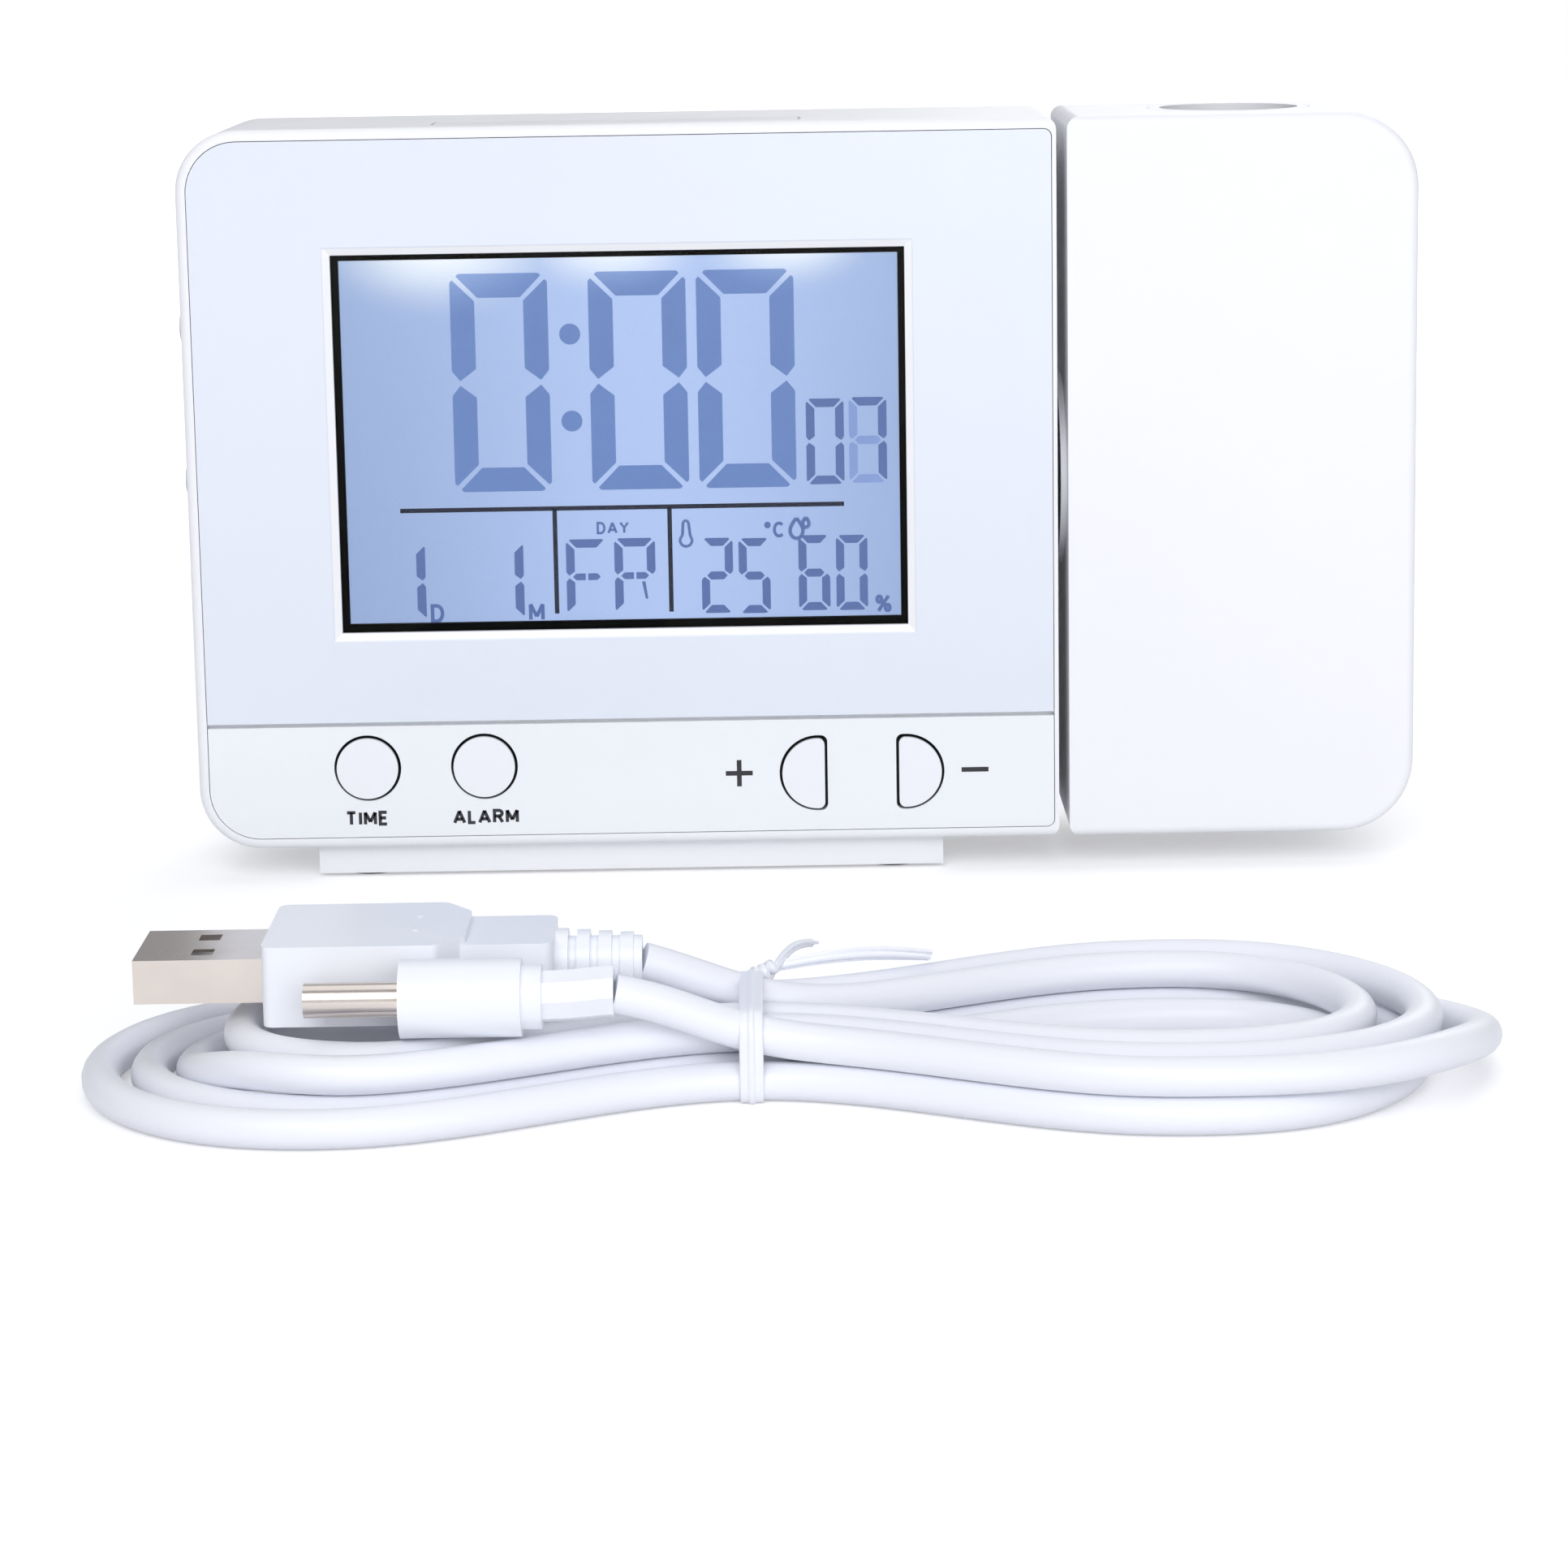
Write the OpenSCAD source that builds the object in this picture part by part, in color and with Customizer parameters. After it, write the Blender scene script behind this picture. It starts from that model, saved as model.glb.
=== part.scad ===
// Projection alarm clock: a clock body on a foot, and a projector block that tilts beside it.
// Millimetres. +Z up, the display faces -Y, and the table is z = 0.

/* [Case] */
// Width of the clock body
clock_w = 105.5; // [104:0.5:108]
// Width of the projector block
proj_w = 42.2; // [39.5:0.1:46]
// Gap between the two blocks
block_gap = 1.3; // [1:0.1:2]
// Height of both blocks
case_h = 88; // [86:1:94]
// Depth of both blocks, front to back
case_d = 29; // [29:0.5:33]
// Height of the case above the table
foot_lift = 4.1; // [3.8:0.1:8]
// Thickness of the walls
wall = 2; // [1.8:0.1:2.3]
// Corner radius on the clock's free side
corner_r = 7.5; // [5.5:0.5:9]
// Corner radius on the projector's free side
projector_corner_r = 9; // [6:0.5:11]
// Corner radius beside the gap
gap_corner_r = 1.5; // [0.6:0.1:2.5]
// Rounding of the outer edges
edge_r = 1.1; // [0.6:0.1:1.2]
// Width of the rim round the front plates
rim_w = 1.3; // [1.2:0.1:1.8]
// Width of that rim beside the gap
gap_rim_w = 0.5; // [0.4:0.1:1]
// Thickness of the wall behind the front plates
front_t = 1.6; // [1.4:0.1:1.8]
// Thickness of the front plates
plate_t = 1.2; // [1:0.1:1.4]
// Groove between the front plates
groove_w = 0.5; // [0.3:0.1:1]
// Height of the lip where the shells meet
lip_h = 1.2; // [0.8:0.1:1.6]

/* [Fits] */
// Clearance round pieces that are seated
seat_fit = 0.1; // [0.05:0.01:0.14]
// Clearance round keys and other loose moving pieces
slide_fit = 0.3; // [0.2:0.05:0.35]
// Radial clearance of turning and sliding bores
run_fit = 0.05; // [0.03:0.01:0.08]

/* [Display] */
// Width of the display opening
lcd_open_w = 69; // [66:0.5:70]
// Height of the display opening
lcd_open_h = 46.1; // [44:0.1:47]
// Centre of the display above the middle of the case
lcd_up = 5.8; // [5:0.1:6.5]
// Bevel round the display opening
lcd_bevel = 1; // [0.6:0.1:1.2]
// Cell that the opening hides on each side
lcd_border = 2; // [1.6:0.1:2.2]
// Contact ledge below the cell
lcd_ledge = 3; // [2.6:0.1:3.2]
// Visible width of the black gasket
gasket_show = 0.8; // [0.4:0.1:1.2]
// Thickness of the clear window
window_t = 1; // [0.8:0.1:1.2]
// Thickness of the gasket
gasket_t = 0.8; // [0.6:0.1:1]
// Thickness of the liquid crystal cell
cell_t = 2.8; // [2.4:0.1:3]
// Thickness of the light guide
guide_t = 3; // [2.6:0.1:3.2]

/* [Keys] */
// Radius of the round keys
round_key_r = 3.75; // [3.4:0.05:4]
// Radius of the half-round keys
half_key_r = 4.35; // [4:0.05:4.6]
// Flat side of a half-round key from its centre
half_key_flat = 0.85; // [0.5:0.05:1.2]
// Ring of air round each front key
key_ring = 0.35; // [0.25:0.05:0.5]
// How far the front keys stand out
key_proud = 0.5; // [0.3:0.1:0.8]
// Travel of every key
key_travel = 0.5; // [0.3:0.05:0.6]
// Height of the lower front plate
key_plate_h = 15.5; // [14.5:0.1:16.5]
// Round keys above the bottom of the case
round_key_up = 10.05; // [9.5:0.05:10.5]
// Half-round keys above the bottom of the case
half_key_up = 8.55; // [8:0.05:9]
// How far the side keys stand out
side_key_proud = 0.7; // [0.5:0.1:1]
// Height of a side key
side_key_h = 3.3; // [3:0.1:4]
// Front-to-back length of a side key
side_key_l = 7; // [6:0.1:7.4]
// Width of the snooze bar
snooze_w = 44; // [36:0.5:50]
// Front-to-back length of the snooze bar
snooze_l = 6.8; // [6:0.1:7]

/* [Foot] */
// Width of the foot
foot_w = 77.1; // [70:0.5:84]
// Front-to-back length of the foot
foot_l = 24; // [22:0.5:27]
// Radius of a rubber pad
pad_r = 4; // [3:0.1:4.5]
// How far the pads stand out
pad_proud = 0.4; // [0.3:0.1:0.8]

/* [Battery] */
// Diameter of an AAA cell
cell_dia = 10.5; // [10.3:0.1:10.6]
// Length of an AAA cell
cell_len = 44.5; // [44:0.1:44.8]
// Thickness of the battery door
door_t = 1.6; // [1.4:0.1:1.7]

/* [Tilt hub] */
// Radius of the hub
hub_r = 8.5; // [8:0.1:8.8]
// Radius of the cable bore in the hub
hub_bore_r = 6; // [5:0.1:6.2]
// Radius of the raised ring round the hub
hub_ring_r = 11.85; // [11.5:0.05:12.2]
// Height of the raised ring in the gap
hub_ring_h = 0.7; // [0.5:0.05:0.8]

/* [Optics] */
// Radius of the focus wheel
wheel_r = 13.5; // [13.2:0.1:13.8]
// How far the focus wheel stands out of the back
wheel_proud = 1.5; // [1.2:0.1:1.8]
// Width of the focus wheel
wheel_w = 7; // [6.6:0.1:7.4]
// Grips round the focus wheel
wheel_grips = 40; // [30:1:48]
// Radius of the lens barrel
barrel_r = 8.2; // [8:0.05:8.3]
// Radius of the projection lens
lens_r = 7; // [6.6:0.05:7.1]
// Height of the thread on the barrel
thread_h = 0.9; // [0.7:0.05:1]
// Axial width of a thread at its root
thread_w = 1.3; // [1:0.05:1.4]
// Lead of the two-start focus thread
thread_lead = 4.5; // [4:0.1:4.8]
// Focus travel each way from rest
focus_travel = 1.5; // [1:0.1:1.6]

/* [USB cable] */
// Diameter of the cable
cable_d = 4; // [3.6:0.1:4.2]
// Length of the tied hank
hank_l = 141; // [130:1:150]
// Width of the hank across its wider lobe
hank_w = 48; // [44:1:52]
// Width of the hank where it is tied
hank_waist = 20; // [18:0.5:22]
// Distance from the clock's front to the hank
hank_ahead = 62; // [24:0.5:80]

/* [Hidden] */
$fn = 48;

// The shared colours
white = [0.92, 0.94, 0.98];
dark = [0.12, 0.12, 0.13];
steel = [0.7, 0.7, 0.72];
clear = [0.8, 0.9, 1, 0.4];

// Where the blocks lie: the box round the whole clock is centred on x = 0 and y = 0
total_w = clock_w + block_gap + proj_w;
left_x = -(total_w + side_key_proud) / 2 + side_key_proud;
right_x = left_x + total_w;
clock_right = left_x + clock_w;
proj_left = clock_right + block_gap;
clock_x = (left_x + clock_right) / 2;
proj_x = (proj_left + right_x) / 2;
front_y = -(case_d + key_proud + wheel_proud) / 2 + key_proud;
back_y = front_y + case_d;
mid_y = (front_y + back_y) / 2;
bottom_z = foot_lift;
top_z = bottom_z + case_h;
mid_z = (bottom_z + top_z) / 2;

// The cavity of the clock body
cav_left = left_x + wall;
cav_right = clock_right - wall;
cav_front = front_y + plate_t + front_t;
cav_back = back_y - wall;
cav_bottom = bottom_z + wall;
cav_top = top_z - wall;

// The layers of the display, from the front
lcd_z = mid_z + lcd_up;
window_y = front_y + plate_t;
gasket_y = window_y + window_t;
cell_y = gasket_y + gasket_t;
cell_end = cell_y + cell_t;
glass_t = cell_t / 2;
guide_y = cell_end + seat_fit;
holder_back = guide_y + guide_t + 0.2;
holder_plate_t = 1;
board_y = holder_back + holder_plate_t;
board_t = 1.6;
board_end = board_y + board_t;
cell_w = lcd_open_w + 2 * lcd_border;
cell_h = lcd_open_h + 2 * lcd_border;
cell_bottom = lcd_z - cell_h / 2;
cell_top = lcd_z + cell_h / 2;
holder_wall = 1.6;
holder_x = cell_w / 2 + seat_fit + holder_wall;
holder_top = cell_top + seat_fit + holder_wall;
holder_bottom = cell_bottom - lcd_ledge - seat_fit - holder_wall;
led_h = 2.1;

// The board, and the four posts that carry it and the display holder
board_left = left_x + wall + 5;
board_right = cav_right - 5.85;
board_bottom = cav_bottom + 3.4;
board_top = cav_top - 4;
post_dx = holder_x + 3.3;
post_dz = cell_h / 2;
post_r = 2.5;
ear_r = 2.9;
post_places = [for (sx = [-1, 1], sz = [-1, 1]) [clock_x + sx * post_dx, lcd_z + sz * post_dz]];

// The corner bosses where the case is screwed together
boss_in = 7;
boss_r = 3.4;
screw_r = 1.1;
screw_head_r = 2.2;
screw_head_h = 1.5;
counterbore_floor = mid_y + 5;
clock_bosses = [
    for (x = [left_x + boss_in, clock_right - boss_in], z = [bottom_z + boss_in, top_z - boss_in]) [x, z]
];
proj_bosses = [
    for (x = [proj_left + 5.6, right_x - boss_in], z = [bottom_z + boss_in, top_z - boss_in]) [x, z]
];

// The keys, as [x, z] of their centres
time_at = [clock_x - 31.95, bottom_z + round_key_up];
alarm_at = [clock_x - 17.65, bottom_z + round_key_up];
plus_at = [clock_x + 23.19, bottom_z + half_key_up];
minus_at = [clock_x + 34.01, bottom_z + half_key_up];
key_places = [time_at, alarm_at, plus_at, minus_at];
key_flange_t = 0.9;
key_flange_out = 1.1;
switch_h = 3.5;
switch_stem_h = 1;
switch_front = board_y - switch_h - switch_stem_h;
upper_side_z = mid_z + 20;
lower_side_z = mid_z + 1.3;
side_key_y = board_y - 2;
snooze_y = cav_front + (snooze_l + 2 * slide_fit) / 2 + 1.1;

// The groove that parts the front plates
groove_z = bottom_z + key_plate_h;

// The battery bay in the rear shell
bay_w = cell_len + 7.5;
bay_h = 2 * cell_dia + 2.5;
bay_x = clock_x - 9;
bay_z = mid_z - 12;
bay_depth = cell_dia + 0.7;
bay_floor = back_y - door_t - bay_depth;
bay_wall = 1.2;
door_ledge = 2;
door_w = bay_w + 2 * door_ledge;
door_h = bay_h + 2 * door_ledge;
cell_pitch = cell_dia + 0.6;
cells_x = bay_x + 1.6;
cells_y = bay_floor + 0.2 + cell_dia / 2;
hook_dx = door_w / 4;
hook_w = 6;

// Sound, air and power at the back
buzzer_at = [clock_x + 31, mid_z + 24];
buzzer_r = 8.5;
buzzer_h = 4;
vent_at = [clock_x - 44, mid_z - 24];
vent_post_dx = 4;
inlet_at = [clock_x + 31, mid_z - 24];
inlet_bore_r = 1.8;
inlet_pin_r = 0.65;
inlet_collar_r = 4;

// The tilt hub
hub_end = cav_right - 7;
bush_r = hub_r + run_fit + 2;
bush_flange_t = 2;
bush_face = cav_right - bush_flange_t;
bush_flange_y = 11.2;
bush_flange_z = 14;
clip_x = hub_end + 1.6;
clip_t = 1;
flange_r = hub_r + 3.5;
flange_t = 2;
proj_inner = proj_left + wall;
flange_end = proj_inner + flange_t;
washer_t = 1;

// The optics, on a vertical axis through the projector block
axis_y = back_y + wheel_proud - wheel_r;
frame_h = 44.6;
collar_top = top_z - 20.4;
frame_z = collar_top - frame_h;
wheel_z = collar_top - 1.7;
wheel_top = wheel_z + wheel_w;
wheel_bore = barrel_r + slide_fit;
collar_r = barrel_r + 2.7;
shelf_z = wheel_top + slide_fit;
shelf_t = 1.6;
frame_r = barrel_r + 3.1;
guide_r = barrel_r + run_fit;
barrel_z = frame_z + 35;
barrel_top = top_z - focus_travel - 0.5;
rib_z = wheel_z + 4.2;
rib_turns = 0.8;
lug_dx = proj_w / 2 - wall - 4.1;
lug_zs = [frame_z + 4, frame_z + 37];
lug_t = 2;
bezel_r = 9.9;
bezel_t = 1.15;
lens_seat = barrel_top - 5;
barrel_key_w = 2.2;

// The route of the projector's leads, from the middle of the hub's flange
wire_r = 1.2;
wire_low = frame_z - mid_z - 3.2;
wire_route = [
    [proj_x - flange_end - 8.1, 4.5, wire_low], [5, 5, wire_low], [2.6, 5.5, wire_low + 2.2],
    [2.2, 5.5, wire_low + 7.2],
    [2.2, 5, -10], [2.6, 2.5, -4.6], [2.8, 0.5, -1.6], [1.8, 0, -0.2], [-0.6, 0, 0], [hub_end + 1 - flange_end, 0, 0]
];
socket_x = hub_end - 9;

// The cable hank on the table, in front of the clock
hank_y = front_y - hank_ahead - hank_w / 2;
hank_x = -2;
hank_h = 2 * cable_d;
waist_x = hank_x - 4;
tie_w = 2.4;
tie_t = 0.8;
plug_at = [hank_x - 66, hank_y + 1.5];
shell_l = 13.2;
shell_w = 12;
shell_h = 4.5;
shell_t = 0.3;
plug_h = 8.2;
plug_z = hank_h + plug_h / 2;
plug_w = 17.5;
plug_neck_w = 11.5;
relief_l = 8.8;
dimple_r = 0.5;
dimple_deep = 0.4;
plug_end = plug_at[0] + shell_l + 29;
second_at = [hank_x - 48, hank_y - 11.4];
second_r = 3.9;
second_z = hank_h + second_r;
tip_l = 9.5;
tip_r = 1.75;
second_end = second_at[0] + tip_l + 21;
lead_r = cable_d / 2 - 0.1;
lead_z = hank_h + cable_d / 2;
usb_lead_route = [
    [plug_end + relief_l, plug_at[1], plug_z], [plug_end + relief_l + 1, plug_at[1], plug_z],
    [hank_x - 12.4, hank_y + 1.7, hank_h + 3],
    [hank_x - 9.4, hank_y + 2, lead_z + 0.2], [hank_x - 6, hank_y + 2.2, lead_z]
];
second_lead_route = [
    [second_end, second_at[1] + 1.5, second_z], [second_end + 1, second_at[1] + 1.5, second_z],
    [hank_x - 14, hank_y - 8.6, hank_h + 3],
    [hank_x - 11, hank_y - 7, lead_z + 0.2], [hank_x - 6, hank_y - 5.4, lead_z]
];

// ---- Helpers ----

module along_y(y0, y1) {
    translate([0, y1, 0]) rotate([90, 0, 0]) linear_extrude(y1 - y0) children();
}

module along_x(x0, x1) {
    translate([x0, 0, 0]) rotate([90, 0, 90]) linear_extrude(x1 - x0) children();
}

module along_z(z0, z1) {
    translate([0, 0, z0]) linear_extrude(z1 - z0) children();
}

module box(x0, x1, y0, y1, z0, z1) {
    translate([x0, y0, z0]) cube([x1 - x0, y1 - y0, z1 - z0]);
}

module rod_x(y, z, r, x0, x1) {
    translate([x0, y, z]) rotate([0, 90, 0]) cylinder(r = r, h = x1 - x0);
}

module rod_y(at, r, y0, y1) {
    translate([at[0], y1, at[1]]) rotate([90, 0, 0]) cylinder(r = r, h = y1 - y0);
}

module rod_z(x, y, r, z0, z1) {
    translate([x, y, z0]) cylinder(r = r, h = z1 - z0);
}

// An upright rectangle with one radius on its left corners and another on its right ones
module rounded(x0, x1, z0, z1, left_r, right_r) {
    translate([x0 + left_r, z0]) square([x1 - right_r - x0 - left_r, z1 - z0]);
    rounded_side(x0, x0 + left_r, z0, z1, left_r, x0 + left_r);
    rounded_side(x1 - right_r, x1, z0, z1, right_r, x1 - right_r);
}

module rounded_side(x0, x1, z0, z1, r, centre_x) {
    if (r > 0) {
        translate([x0, z0 + r]) square([x1 - x0, z1 - z0 - 2 * r]);
        for (z = [z0 + r, z1 - r]) translate([centre_x, z]) circle(r);
    }
}

// A slot with round ends, drawn about its centre
module slot(l, w) {
    square([l - w, w], center = true);
    for (s = [-1, 1]) translate([s * (l - w) / 2, 0]) circle(w / 2);
}

// Half of a block's shell as a solid: its gap side is the plane x = 0, it reaches to x = -w,
// its open side is y = d, and its outer edges at y = 0 are rounded.
module edge_section(r, d) {
    square([r - edge_r, d]);
    translate([0, edge_r]) square([r, d - edge_r]);
    translate([r - edge_r, edge_r]) circle(edge_r);
}

module half_block(w, h, d, r) {
    difference() {
        union() {
            for (top = [0, 1])
                translate([r - w, 0, top ? h - r : r]) rotate([-90, 0, 0])
                    rotate([0, 0, top ? 180 : 90]) rotate_extrude(angle = 90) edge_section(r, d);
            translate([r - w, 0, r]) mirror([1, 0, 0]) linear_extrude(h - 2 * r) edge_section(r, d);
            translate([0, 0, h - r]) rotate([0, -90, 0]) linear_extrude(w - r) edge_section(r, d);
            translate([0, 0, r]) mirror([0, 0, 1]) rotate([0, -90, 0]) linear_extrude(w - r)
                edge_section(r, d);
            box(r - w, 0, 0, d, r, h - r);
        }
        for (top = [0, 1])
            translate([-gap_corner_r, 0, top ? h - gap_corner_r : gap_corner_r])
                mirror([0, 0, top ? 0 : 1]) along_y(-1, d + 1) difference() {
                    square(gap_corner_r + 1);
                    circle(gap_corner_r);
                }
    }
}

module clock_front_half() {
    translate([clock_right, front_y, bottom_z]) half_block(clock_w, case_h, mid_y - front_y, corner_r);
}

module clock_rear_half() {
    translate([clock_right, back_y, bottom_z]) mirror([0, 1, 0])
        half_block(clock_w, case_h, back_y - mid_y, corner_r);
}

module proj_front_half() {
    translate([proj_left, front_y, bottom_z]) mirror([1, 0, 0])
        half_block(proj_w, case_h, mid_y - front_y, projector_corner_r);
}

module proj_rear_half() {
    translate([proj_left, back_y, bottom_z]) mirror([1, 0, 0]) mirror([0, 1, 0])
        half_block(proj_w, case_h, back_y - mid_y, projector_corner_r);
}

// The outlines of the two blocks, drawn in from their outsides
module clock_outline(in) {
    rounded(left_x + in, clock_right - in, bottom_z + in, top_z - in,
            max(corner_r - in, 0), max(gap_corner_r - in, 0));
}

module proj_outline(in) {
    rounded(proj_left + in, right_x - in, bottom_z + in, top_z - in,
            max(gap_corner_r - in, 0), max(projector_corner_r - in, 0));
}

// The bosses of a front shell and of a rear shell, and the holes through them
module front_bosses(places, y0) {
    for (p = places) rod_y(p, boss_r, y0, mid_y);
}

module front_boss_holes(places) {
    for (p = places) rod_y(p, screw_r + 0.05, mid_y - 8, mid_y + 1);
}

module rear_bosses(places) {
    for (p = places) rod_y(p, boss_r, mid_y, cav_back + 0.5);
}

module rear_boss_holes(places) {
    for (p = places) {
        rod_y(p, screw_r + 0.25, mid_y - 1, back_y);
        rod_y(p, screw_head_r + 0.3, counterbore_floor, back_y + 1);
    }
}

// A screw along +Y, with its head's seat at y0 and its tip at y0 - l
module screw(at, y0, l, shank_r, head_r, head_h) {
    difference() {
        union() {
            rod_y(at, shank_r, y0 - l, y0);
            rod_y(at, head_r, y0, y0 + head_h);
        }
        for (w = [[head_r, 0.5], [0.5, head_r]])
            box(at[0] - w[0] / 2, at[0] + w[0] / 2, y0 + head_h / 2, y0 + head_h + 1,
                at[1] - w[1] / 2, at[1] + w[1] / 2);
    }
}

// A tube of radius r along a route of points; no stretch of it may run straight up
function unit(v) = v / norm(v);
function tangent(path, i) =
    unit(path[min(i + 1, len(path) - 1)] - path[max(i - 1, 0)]);
function ring(path, i, r, sides) =
    let (t = tangent(path, i), side = unit(cross(t, [0, 0, 1])), up = cross(side, t))
    [for (k = [0:sides - 1]) path[i] + r * (cos(360 * k / sides) * side - sin(360 * k / sides) * up)];

module tube(path, r, sides = 8) {
    n = len(path);
    polyhedron(
        points = [for (i = [0:n - 1]) each ring(path, i, r, sides)],
        faces = concat(
            [[for (k = [0:sides - 1]) k]],
            [for (i = [0:n - 2], k = [0:sides - 1])
                [i * sides + k, (i + 1) * sides + k, (i + 1) * sides + (k + 1) % sides]],
            [for (i = [0:n - 2], k = [0:sides - 1])
                [i * sides + k, (i + 1) * sides + (k + 1) % sides, i * sides + (k + 1) % sides]],
            [[for (k = [sides - 1:-1:0]) (n - 1) * sides + k]]
        ));
}

// A screw thread of trapezoidal section round the Z axis, from radius r0 to r1
function thread_section(r0, r1, root, tip, a, z) = [
    [r0 * cos(a), r0 * sin(a), z + root / 2], [r1 * cos(a), r1 * sin(a), z + tip / 2],
    [r1 * cos(a), r1 * sin(a), z - tip / 2], [r0 * cos(a), r0 * sin(a), z - root / 2]
];

module thread(r0, r1, root, tip, lead, turns, start, z0, steps = 30) {
    n = ceil(turns * steps);
    polyhedron(
        points = [for (i = [0:n])
            each thread_section(r0, r1, root, tip, start + 360 * turns * i / n, z0 + lead * turns * i / n)],
        faces = concat(
            [[0, 1, 2, 3]],
            [for (i = [0:n - 1], k = [0:3]) [4 * i + k, 4 * i + 4 + k, 4 * i + 4 + (k + 1) % 4]],
            [for (i = [0:n - 1], k = [0:3]) [4 * i + k, 4 * i + 4 + (k + 1) % 4, 4 * i + (k + 1) % 4]],
            [[4 * n + 3, 4 * n + 2, 4 * n + 1, 4 * n]]
        ));
}

// ---- Clock body ----

// The front half of the clock's case: a rim round two let-in plates, with posts behind
module front_shell() {
    color(white) difference() {
        union() {
            difference() {
                clock_front_half();
                along_y(cav_front, mid_y + 1) clock_outline(wall);
            }
            along_y(mid_y - 2, mid_y + lip_h) difference() {
                clock_outline(wall / 2 + seat_fit);
                clock_outline(wall);
            }
            front_bosses(clock_bosses, cav_front - 0.5);
            for (p = post_places) rod_y(p, post_r, cav_front - 0.5, holder_back);
            for (x = [clock_x - 5, clock_x + 9])
                box(x, x + 1.2, cav_front - 0.5, cav_front + 4, cav_bottom - 0.5, cav_bottom + 9);
        }
        along_y(front_y - 1, front_y + plate_t)
            rounded(left_x + rim_w, clock_right - gap_rim_w, bottom_z + rim_w, top_z - rim_w,
                    corner_r - rim_w, max(gap_corner_r - gap_rim_w, 0.1));
        box(clock_x - cell_w / 2 - 0.4, clock_x + cell_w / 2 + 0.4, front_y, cav_front + 1,
            cell_bottom - lcd_ledge - 0.4, cell_top + 0.4);
        for (p = [time_at, alarm_at]) rod_y(p, round_key_r + key_ring + 0.2, front_y, cav_front + 1);
        for (p = [[plus_at, 1], [minus_at, -1]])
            along_y(front_y, cav_front + 1) half_key_outline(p[0], p[1], key_ring + 0.2);
        for (z = [upper_side_z, lower_side_z])
            along_x(left_x - 1, cav_left + 1) translate([side_key_y, z])
                slot(side_key_l + 2 * slide_fit, side_key_h + 2 * slide_fit);
        along_z(cav_top - 1, top_z + 1) translate([clock_x, snooze_y])
            slot_rect(snooze_w + 2 * slide_fit, snooze_l + 2 * slide_fit, 1.6);
        front_boss_holes(clock_bosses);
        for (p = post_places) rod_y(p, 0.9 + 0.05, cav_front + 1.3, holder_back + 1);
        rod_x(mid_y, mid_z, bush_r + seat_fit, cav_right - 1, clock_right + 1);
        for (s = [-1, 1]) rod_z(clock_x + s * foot_w * 0.42, mid_y - 6, 1.6, bottom_z - 1, cav_bottom + 1);
    }
}

// A plan rectangle with round corners, about its centre
module slot_rect(w, l, r) {
    square([w - 2 * r, l], center = true);
    square([w, l - 2 * r], center = true);
    for (sx = [-1, 1], sy = [-1, 1]) translate([sx * (w / 2 - r), sy * (l / 2 - r)]) circle(r);
}

// A half-round key's outline: side = 1 has its flat on the right, -1 on the left
module half_key_outline(at, side, grow) {
    corner = 0.8;
    r = half_key_r + grow;
    flat = half_key_flat + grow;
    reach = sqrt(pow(r - corner, 2) - pow(flat - corner, 2));
    translate(at) mirror([side > 0 ? 0 : 1, 0]) {
        intersection() {
            circle(r);
            translate([-r - 1, -r - 1]) square([r + 1 + flat - corner, 2 * r + 2]);
        }
        translate([flat - corner - 0.01, -reach]) square([corner + 0.01, 2 * reach]);
        for (s = [-1, 1]) translate([flat - corner, s * reach]) circle(corner);
    }
}

// The front plates' shared outline, let into the rim
module plates_outline() {
    in = rim_w + seat_fit;
    gap_in = gap_rim_w + seat_fit;
    rounded(left_x + in, clock_right - gap_in, bottom_z + in, top_z - in,
            corner_r - in, max(gap_corner_r - gap_in, 0.1));
}

// The upper front plate, with a bevel round the display opening
module face_plate() {
    color(white) difference() {
        along_y(front_y, front_y + plate_t) difference() {
            plates_outline();
            translate([left_x, bottom_z]) square([clock_w, groove_z + groove_w / 2 - bottom_z]);
        }
        box(clock_x - lcd_open_w / 2, clock_x + lcd_open_w / 2, front_y - 1, window_y + 1,
            lcd_z - lcd_open_h / 2, lcd_z + lcd_open_h / 2);
        opening_bevel();
    }
}

// A four-sided funnel: the space in front of the bevel round the opening
module opening_bevel() {
    depth = plate_t / 2;
    half_w = lcd_open_w / 2;
    half_h = lcd_open_h / 2;
    steep = lcd_bevel / depth;
    intersection() {
        along_z(lcd_z - half_h - lcd_bevel, lcd_z + half_h + lcd_bevel) polygon([
            [clock_x - half_w - 2 * lcd_bevel, front_y - depth], [clock_x + half_w + 2 * lcd_bevel, front_y - depth],
            [clock_x + half_w, front_y + depth], [clock_x - half_w, front_y + depth]
        ]);
        along_x(clock_x - half_w - lcd_bevel, clock_x + half_w + lcd_bevel) polygon([
            [front_y - depth, lcd_z - half_h - steep * 2 * depth], [front_y + depth, lcd_z - half_h],
            [front_y + depth, lcd_z + half_h], [front_y - depth, lcd_z + half_h + steep * 2 * depth]
        ]);
    }
}

// The lower front plate, which the four keys stand in
module key_plate() {
    color(white) along_y(front_y, front_y + plate_t) difference() {
        plates_outline();
        translate([left_x, groove_z - groove_w / 2]) square([clock_w, case_h]);
        for (p = [time_at, alarm_at]) translate(p) circle(round_key_r + key_ring);
        half_key_outline(plus_at, 1, key_ring);
        half_key_outline(minus_at, -1, key_ring);
    }
}

module lcd_window() {
    color(clear)
        box(clock_x - cell_w / 2, clock_x + cell_w / 2, window_y, gasket_y,
            cell_bottom - lcd_ledge, cell_top);
}

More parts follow.
